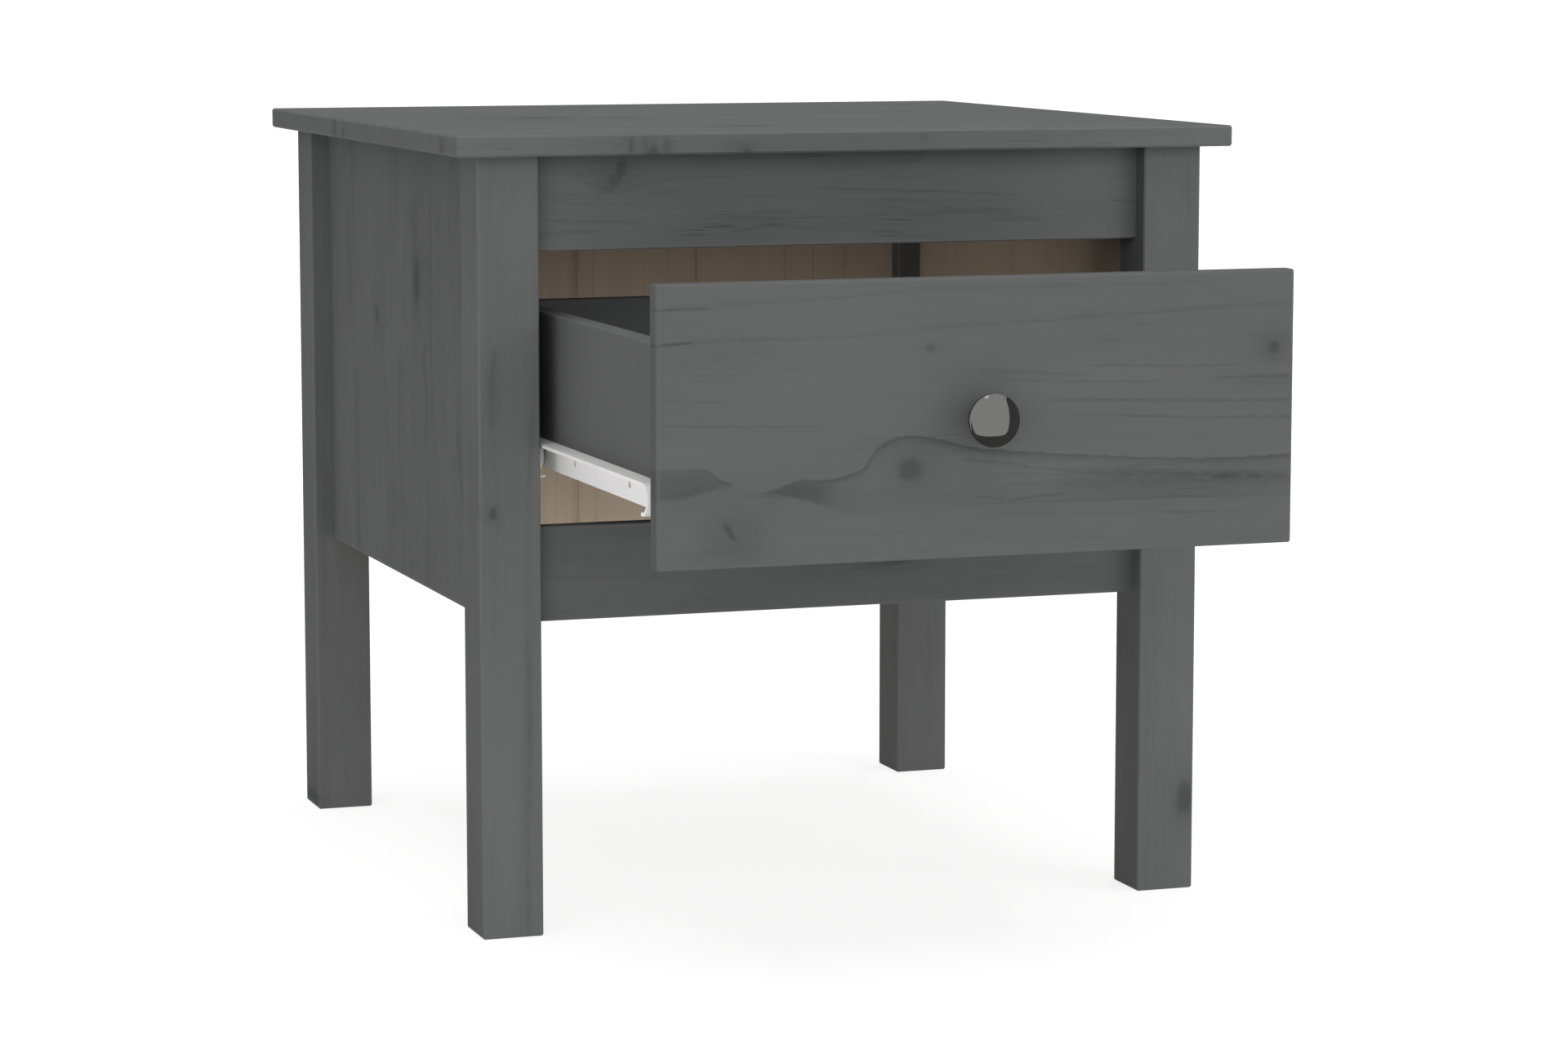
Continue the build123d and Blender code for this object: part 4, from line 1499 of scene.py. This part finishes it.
def drawer_boards() -> list[Board]:
    """Lists the wooden boards of the drawer, with the grain and the marks of each.

    Returns:
        The boards.
    """
    front = -459.0
    return [
        Board(
            "drawer_front", Grain.ALONG_X_FACE_Y,
            Figure(
                -0.060, 0.010, 0.075, 0.10, 0.009, tilt=0.0, warp=0.004, strength=0.16, seed=38.4,
            ),
            knots=(
                Knot((-43.5, front, 304.5), 7.0, 6.4, 0.80, fray=0.5, lift=3.0),
                Knot((-151, front, 273.5), 6.5, 1.9, 0.80, turn=-58, lift=1.0),
                Knot((-148, front, 269), 20.0, 15.0, 0.24, lift=1.0),
                Knot((181, front, 367.5), 4.2, 3.8, 0.80, fray=0.6, lift=3.0),
                Knot((180, front, 368), 15.0, 11.0, 0.16, lift=1.0),
                Knot((-32, front, 373), 3.0, 1.8, 0.40, lift=1.0),
                Knot((150, front, 293.6), 4.5, 1.3, 0.50, lift=0.5),
            ),
            streaks=face_streaks(
                1, front,
                (-215, 377, -168, 379.6, 0.9, 0.95), (-175, 379.6, -45, 383, 1.1, 0.26),
                (-50, 383.5, 90, 389, 1.2, 0.30), (80, 388, 193, 394, 1.0, 0.28),
                (-212, 398, -160, 399, 0.8, 0.70), (-168, 399.5, -40, 405.5, 0.9, 0.22),
                (-50, 406, 150, 406, 1.2, 0.20), (-5, 359, 70, 356.3, 1.0, 0.36),
                (60, 361, 172, 357.6, 0.8, 0.34), (5, 354.3, 120, 349.8, 0.8, 0.30),
                (140, 351, 210, 349.5, 1.2, 0.52), (30, 341.3, 210, 336.8, 1.1, 0.48),
                (45, 332, 210, 326, 0.8, 0.46), (-205, 334.6, -85, 331, 0.7, 0.30),
                (-200, 348.5, -150, 346.5, 0.7, 0.24), (-14, 309.5, 30, 304.5, 1.2, 0.40),
                (20, 305, 60, 300.5, 0.9, 0.40), (46, 300, 205, 291, 2.6, 0.42),
                (40, 293, 205, 290, 3.6, 0.24), (12, 283.4, 56, 287.6, 0.9, 0.48),
                (-4, 287.4, 16, 285, 0.8, 0.40), (-25, 283, 210, 281, 0.8, 0.30),
                (-10, 276.5, 205, 271.5, 0.8, 0.16), (-110, 271.5, 30, 267, 0.8, 0.14),
                (-20, 264, 120, 258, 0.9, 0.12), (-190, 262, -90, 260, 0.8, 0.12),
            ),
            heart=DRAWER_HEART, shade=0.92,
        ),
        Board(
            "drawer_side_left", Grain.ALONG_Y_FACE_X,
            Figure(0.02, 0.02, 0.034, 0.1, 0.006, strength=0.1, seed=41.9),
            wood=PLAIN_STAIN, shade=1.10,
        ),
        # The drawer's right side and back get high shade factors: painted light on faces that lie
        # in shade.
        Board(
            "drawer_side_right", Grain.ALONG_Y_FACE_X,
            Figure(-0.02, 0.02, 0.034, 0.1, 0.006, strength=0.1, seed=44.3),
            wood=PLAIN_STAIN, shade=1.15,
        ),
        Board(
            "drawer_back", Grain.ALONG_X_FACE_Y, Figure(0.02, 0.02, 0.034, 0.2, 0.006, seed=47.7),
            wood=PLAIN_STAIN, shade=1.2,
        ),
        Board(
            "drawer_bottom", Grain.ALONG_X_FACE_Z,
            Figure(0.0, 0.02, 0.034, 0.2, 0.006, seed=50.2), wood=GREY_BOARD,
        ),
        Board(
            "drawer_dowels", Grain.ALONG_Y_FACE_X,
            Figure(0.0, 0.004, 0.010, 0.3, 0.002), wood=BEECH,
        ),
    ]


@dataclass
class Knob:
    """The turned knob on the drawer front, with the sizes of its solid."""

    head_radius: float = 15.3 * MM
    projection: float = 24.0 * MM
    rim_height: float = 19.0 * MM
    rim_thickness: float = 2.4 * MM
    neck_radius: float = 5.5 * MM
    neck_height: float = 6.0 * MM
    base_radius: float = 8.0 * MM
    base_thickness: float = 1.6 * MM
    rim_round: float = 0.5 * MM
    rim_inset_share: float = 0.6
    rim_rise_share: float = 1.001
    turns: int = 96
    neck_steps: int = 16
    rim_steps: int = 4
    crown_steps: int = 24

    def profile(self) -> list[Pair]:
        """Draws the knob's outline from its base to its crown.

        Returns:
            Its points, each a radius and a height.
        """
        points = [
            (self.base_radius, 0.0),
            (self.base_radius, self.base_thickness),
            (self.neck_radius, self.neck_height),
        ]
        underside = self.rim_height - self.rim_thickness
        reach, rise = self.head_radius - self.neck_radius, underside - self.neck_height
        bow = (reach**2 + rise**2) / (2 * reach)
        sweep = math.asin(min(1.0, rise / bow))
        for step in range(1, self.neck_steps + 1):
            angle = sweep * step / self.neck_steps
            radius = self.neck_radius + bow * (1 - math.cos(angle))
            points.append((radius, self.neck_height + bow * math.sin(angle)))
        low_rim, inset = self.rim_height - self.rim_round, self.rim_round * self.rim_inset_share
        points.append((self.head_radius, low_rim))
        crown = self.projection - self.rim_height
        ball = (self.head_radius**2 + crown**2) / (2 * crown)
        edge = math.asin((self.head_radius - inset) / ball)
        for step in range(1, self.rim_steps + 1):
            angle = math.pi / 2 * step / self.rim_steps
            height = low_rim + self.rim_round * self.rim_rise_share * math.sin(angle)
            points.append((self.head_radius - inset * (1 - math.cos(angle)), height))
        for step in range(1, self.crown_steps + 1):
            angle = edge * (1 - step / self.crown_steps)
            points.append((ball * math.sin(angle), self.projection - ball * (1 - math.cos(angle))))
        return points

    def build(self, effects: Effects) -> None:
        """Turns the knob, gives it its finish and lets it stand for its solid.

        Args:
            effects: The shared shader groups.
        """
        low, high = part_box("knob")
        base_y, centre_x, centre_z = high.y, (low.x + high.x) / 2, (low.z + high.z) / 2
        vertices: list[Triple] = []
        faces: list[tuple[int, ...]] = []
        *rings, (_, crown_height) = self.profile()
        turns = self.turns
        for radius, height in rings:
            for turn in range(turns):
                angle = 2 * math.pi * turn / turns
                across, up = radius * math.cos(angle), radius * math.sin(angle)
                vertices.append((centre_x + across, base_y - height, centre_z + up))
        for first in range(0, (len(rings) - 1) * turns, turns):
            for turn in range(turns):
                here, there = first + turn, first + (turn + 1) % turns
                faces.append((here, there, there + turns, here + turns))
        tip, last = len(vertices), (len(rings) - 1) * turns
        vertices.append((centre_x, base_y - crown_height, centre_z))
        faces += [(last + turn, last + (turn + 1) % turns, tip) for turn in range(turns)]
        faces.append(tuple(reversed(range(turns))))
        piece = place_mesh("turned_knob", vertices, faces)
        piece.data.validate()
        piece.data.shade_smooth()
        put_material(piece, metal_material(KNOB_METAL, effects))
        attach(piece, "drawer")
        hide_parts("knob")
        LOG.info("knob: %s faces", len(faces))


@dataclass
class Hardware:
    """Every metal and nylon node that keeps its solid, by its finish."""

    coated: tuple[str, ...] = (
        "case_runner_left", "case_runner_right", "drawer_runner_left", "drawer_runner_right",
    )
    nylon: tuple[str, ...] = (
        "case_roller_left", "case_roller_right", "drawer_roller_left", "drawer_roller_right",
    )
    plated: tuple[str, ...] = (
        "case_rivets", "drawer_rivets", "rail_cam_bolts", "rail_cams", "drawer_cam_bolts",
        "drawer_cams", "top_brackets", "knob_screw",
    )

    def dress(self, frame: dict, effects: Effects) -> None:
        """Gives each node its finish.

        Args:
            effects: The shared shader groups.
        """
        finishes = ((WHITE_COAT, self.coated), (WHITE_NYLON, self.nylon), (ZINC, self.plated))
        for finish, names in finishes:
            material = metal_material(finish, effects)
            for name in names:
                put_material(frame["nodes"][name], material)
            LOG.info("%s on %s pieces", finish.name, len(names))


@dataclass(frozen=True)
class Screw:
    """Where one screw sits, in metres, and the way its head faces."""

    place: Triple
    facing: Triple


@dataclass
class Screws:
    """The small wood screws, which one node tree sets at the listed places of each body.

    A head is a low cone with a cross recess, on a shank that goes into the wood. Sizes are in
    metres, and shares are parts of a piece's length, height or half width.
    """

    head_radius: float = 3.6 * MM
    head_height: float = 1.3 * MM
    crown_radius: float = 2.3 * MM
    recess_width: float = 0.8 * MM
    recess_depth: float = 0.7 * MM
    shank_radius: float = 1.5 * MM
    shank_length: float = 9.0 * MM
    recess_span_share: float = 1.5
    head_turns: int = 20
    shank_turns: int = 12
    bracket_steel: float = 1.5 * MM
    bracket_screw_in: float = 12.0 * MM
    bracket_half_width: float = 8.0 * MM
    runner_steel: float = 1.0 * MM
    case_runner_spots: Triple = (37 * MM, 165 * MM, 293 * MM)
    drawer_runner_spots: Triple = (67 * MM, 177 * MM, 287 * MM)
    strip_shares: Triple = (0.08, 0.5, 0.92)
    strip_screw_down: float = 5 * MM
    back_shares: Pair = (0.3, 0.8)
    bottom_shares: Triple = (-0.68, 0.0, 0.68)
    seed: int = 7

    def build(self, effects: Effects) -> None:
        """Sets the screws of the case and of the drawer, one mesh for each body.

        Args:
            effects: The shared shader groups.
        """
        tree = self.build_tree(metal_material(SCREW_PLATE, effects))
        for body, screws in (("case", self.case_screws()), ("drawer", self.drawer_screws())):
            piece = self.set_screws(f"{body}_screws", screws, tree)
            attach(piece, body)
            LOG.info("%s: %s screws, %s faces", piece.name, len(screws), len(piece.data.polygons))

    def case_screws(self) -> list[Screw]:
        """Places the screws of the brackets, the runners and the runners' strips.

        Returns:
            The screws.
        """
        screws = []
        low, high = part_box("top_brackets")
        for side, name in ((-1, "left"), (1, "right")):
            runner_low, runner_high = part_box(f"case_runner_{name}")
            strip_low, strip_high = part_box(f"runner_strip_{name}")
            wall = high.x if side > 0 else low.x
            for at in (low.y + self.bracket_half_width, high.y - self.bracket_half_width):
                under = (wall - side * self.bracket_screw_in, at, high.z - self.bracket_steel)
                inner = (wall - side * self.bracket_steel, at, high.z - self.bracket_screw_in)
                screws += [Screw(under, (0, 0, -1)), Screw(inner, (-side, 0, 0))]
            web = (runner_high.x if side > 0 else runner_low.x) - side * self.runner_steel
            for spot in self.case_runner_spots:
                place = (web, runner_low.y + spot, (runner_low.z + runner_high.z) / 2)
                screws.append(Screw(place, (-side, 0, 0)))
            face = strip_low.x if side > 0 else strip_high.x
            for share in self.strip_shares:
                at = strip_low.y + share * (strip_high.y - strip_low.y)
                place = (face, at, strip_high.z - self.strip_screw_down)
                screws.append(Screw(place, (-side, 0, 0)))
        return screws

    def drawer_screws(self) -> list[Screw]:
        """Places the screws of the drawer's runners, its back and its bottom.

        Returns:
            The screws.
        """
        screws = []
        back_low, back_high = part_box("drawer_back")
        bottom_low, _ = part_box("drawer_bottom")
        middle = (back_low.y + back_high.y) / 2
        for side, name in ((-1, "left"), (1, "right")):
            low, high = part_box(f"drawer_side_{name}")
            runner_low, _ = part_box(f"drawer_runner_{name}")
            outer = high.x if side > 0 else low.x
            for share in self.back_shares:
                place = (outer, middle, back_low.z + share * (back_high.z - back_low.z))
                screws.append(Screw(place, (side, 0, 0)))
            for spot in self.drawer_runner_spots:
                place = ((low.x + high.x) / 2, runner_low.y + spot, low.z - self.runner_steel)
                screws.append(Screw(place, (0, 0, -1)))
        for share in self.bottom_shares:
            screws.append(Screw((share * back_high.x, middle, bottom_low.z), (0, 0, -1)))
        return screws

    def build_tree(self, material: Material) -> GeometryNodeTree:
        """Builds the node tree that turns points into screws.

        Args:
            material: The finish of every screw.

        Returns:
            The tree, with one named input for each size.
        """
        tree = bpy.data.node_groups.new("screw_field", "GeometryNodeTree")
        sockets = [("Geometry", GEOMETRY), *((name, NUMBER) for name in self.sizes())]
        for name, kind in (*sockets, ("Seed", "NodeSocketInt")):
            tree.interface.new_socket(name=name, in_out="INPUT", socket_type=kind)
        tree.interface.new_socket(name="Geometry", in_out="OUTPUT", socket_type=GEOMETRY)
        graph = Graph(tree)
        given = terms(graph, graph.node("NodeGroupInput").outputs)
        cone = {
            "Vertices": self.head_turns, "Radius Top": given.crown_radius,
            "Radius Bottom": given.head_radius, "Depth": given.head_height,
        }
        head = graph.fill(graph.node("GeometryNodeMeshCone"), cone)
        cross = graph.node("GeometryNodeJoinGeometry")
        span, sink = given.crown_radius * self.recess_span_share, given.recess_depth * 2.0
        for sizes in ((span, given.recess_width, sink), (given.recess_width, span, sink)):
            bar = graph.fill(graph.node("GeometryNodeMeshCube"), {"Size": graph.join(*sizes)})
            graph.feed(cross.inputs["Geometry"], bar.outputs["Mesh"])
        lifted = self.moved(graph, cross.outputs["Geometry"], given.head_height)
        cut = graph.node("GeometryNodeMeshBoolean", operation="DIFFERENCE", solver="EXACT")
        solids = {"Mesh 1": head.outputs["Mesh"], "Mesh 2": lifted, "Self Intersection": True}
        graph.fill(cut, solids)
        rod = {
            "Vertices": self.shank_turns, "Radius": given.shank_radius, "Depth": given.shank_length,
        }
        shank = graph.fill(graph.node("GeometryNodeMeshCylinder"), rod)
        sunk = self.moved(graph, shank.outputs["Mesh"], given.shank_length * -0.5)
        whole = graph.node("GeometryNodeJoinGeometry")
        for part in (cut.outputs["Mesh"], sunk):
            graph.feed(whole.inputs["Geometry"], part)
        self.set_out(graph, given, whole.outputs["Geometry"], material)
        return tree

    def moved(self, graph: Graph, geometry: object, height: object) -> Term:
        """Moves a geometry along Z and returns it."""
        shift = {"Geometry": geometry, "Translation": graph.join(0.0, 0.0, height)}
        return Term(graph, graph.fill(graph.node("GeometryNodeTransform"), shift).outputs[0])

    def set_out(
        self, graph: Graph, given: SimpleNamespace, screw: object, material: Material
    ) -> None:
        """Sets a screw on every point, turned by chance about its own axis.

        Args:
            graph: The tree's graph.
            given: The tree's inputs.
            screw: The screw's geometry, facing up.
            material: The finish of every screw.
        """
        facing = graph.node("GeometryNodeInputNamedAttribute", data_type="FLOAT_VECTOR")
        graph.fill(facing, {"Name": "facing"})
        upright = graph.node("FunctionNodeAlignRotationToVector", axis="Z")
        graph.fill(upright, {"Vector": facing.outputs["Attribute"]})
        chance = graph.node("FunctionNodeRandomValue", data_type="FLOAT")
        graph.fill(chance, {"Seed": given.seed})
        spin = graph.node("FunctionNodeAxisAngleToRotation")
        angle = graph.math("MULTIPLY", chance.outputs[1], math.pi / 2)
        graph.fill(spin, {"Axis": (0.0, 0.0, 1.0), "Angle": angle})
        turned = graph.node("FunctionNodeRotateRotation", rotation_space="LOCAL")
        turn = {"Rotation": upright.outputs["Rotation"], "Rotate By": spin.outputs["Rotation"]}
        graph.fill(turned, turn)
        screws = graph.node("GeometryNodeInstanceOnPoints")
        rotation = turned.outputs["Rotation"]
        graph.fill(screws, {"Points": given.geometry, "Instance": screw, "Rotation": rotation})
        real = graph.node("GeometryNodeRealizeInstances")
        graph.fill(real, {"Geometry": screws.outputs["Instances"]})
        dressed = graph.node("GeometryNodeSetMaterial")
        graph.fill(dressed, {"Geometry": real.outputs["Geometry"], "Material": material})
        output = graph.node("NodeGroupOutput")
        graph.feed(output.inputs["Geometry"], dressed.outputs["Geometry"])

    def sizes(self) -> dict[str, float]:
        """Returns the sizes that the tree takes, by their labels.

        Returns:
            Each size, in metres.
        """
        names = (
            "head_radius", "head_height", "crown_radius", "recess_width", "recess_depth",
            "shank_radius", "shank_length",
        )
        return {label(name): getattr(self, name) for name in names}

    def set_screws(self, name: str, screws: list[Screw], tree: GeometryNodeTree) -> Object:
        """Makes one plain mesh of all the screws of a body.

        Args:
            name: The piece's name.
            screws: Where its screws sit.
            tree: The node tree that makes them.

        Returns:
            The piece, with no modifier left on it.
        """
        holder = place_mesh(f"{name}_points", [screw.place for screw in screws], [])
        facing = holder.data.attributes.new("facing", "FLOAT_VECTOR", "POINT")
        for item, screw in zip(facing.data, screws):
            item.vector = screw.facing
        modifier = holder.modifiers.new("screws", "NODES")
        modifier.node_group = tree
        values = {**self.sizes(), "Seed": self.seed}
        for socket in tree.interface.items_tree:
            if socket.in_out == "INPUT" and socket.name in values:
                modifier[socket.identifier] = values[socket.name]
        evaluated = holder.evaluated_get(bpy.context.evaluated_depsgraph_get())
        mesh = bpy.data.meshes.new_from_object(evaluated)
        mesh.name = name
        bpy.data.objects.remove(holder)
        return place_object(name, mesh)


def write_size() -> None:
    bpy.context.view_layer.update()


def main() -> None:
    """Builds the studio, dresses every board and fitting, and makes the scene's own pieces."""
    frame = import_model()
    Studio().build()
    effects = Effects()
    for board in [*case_boards(), *drawer_boards()]:
        board.dress(frame, effects)
    Hardware().dress(frame, effects)
    Knob().build(effects)
    Screws().build(effects)
    write_size()


if __name__ == "__main__":
    logging.basicConfig(level=logging.INFO, format="%(name)s: %(message)s")
    main()
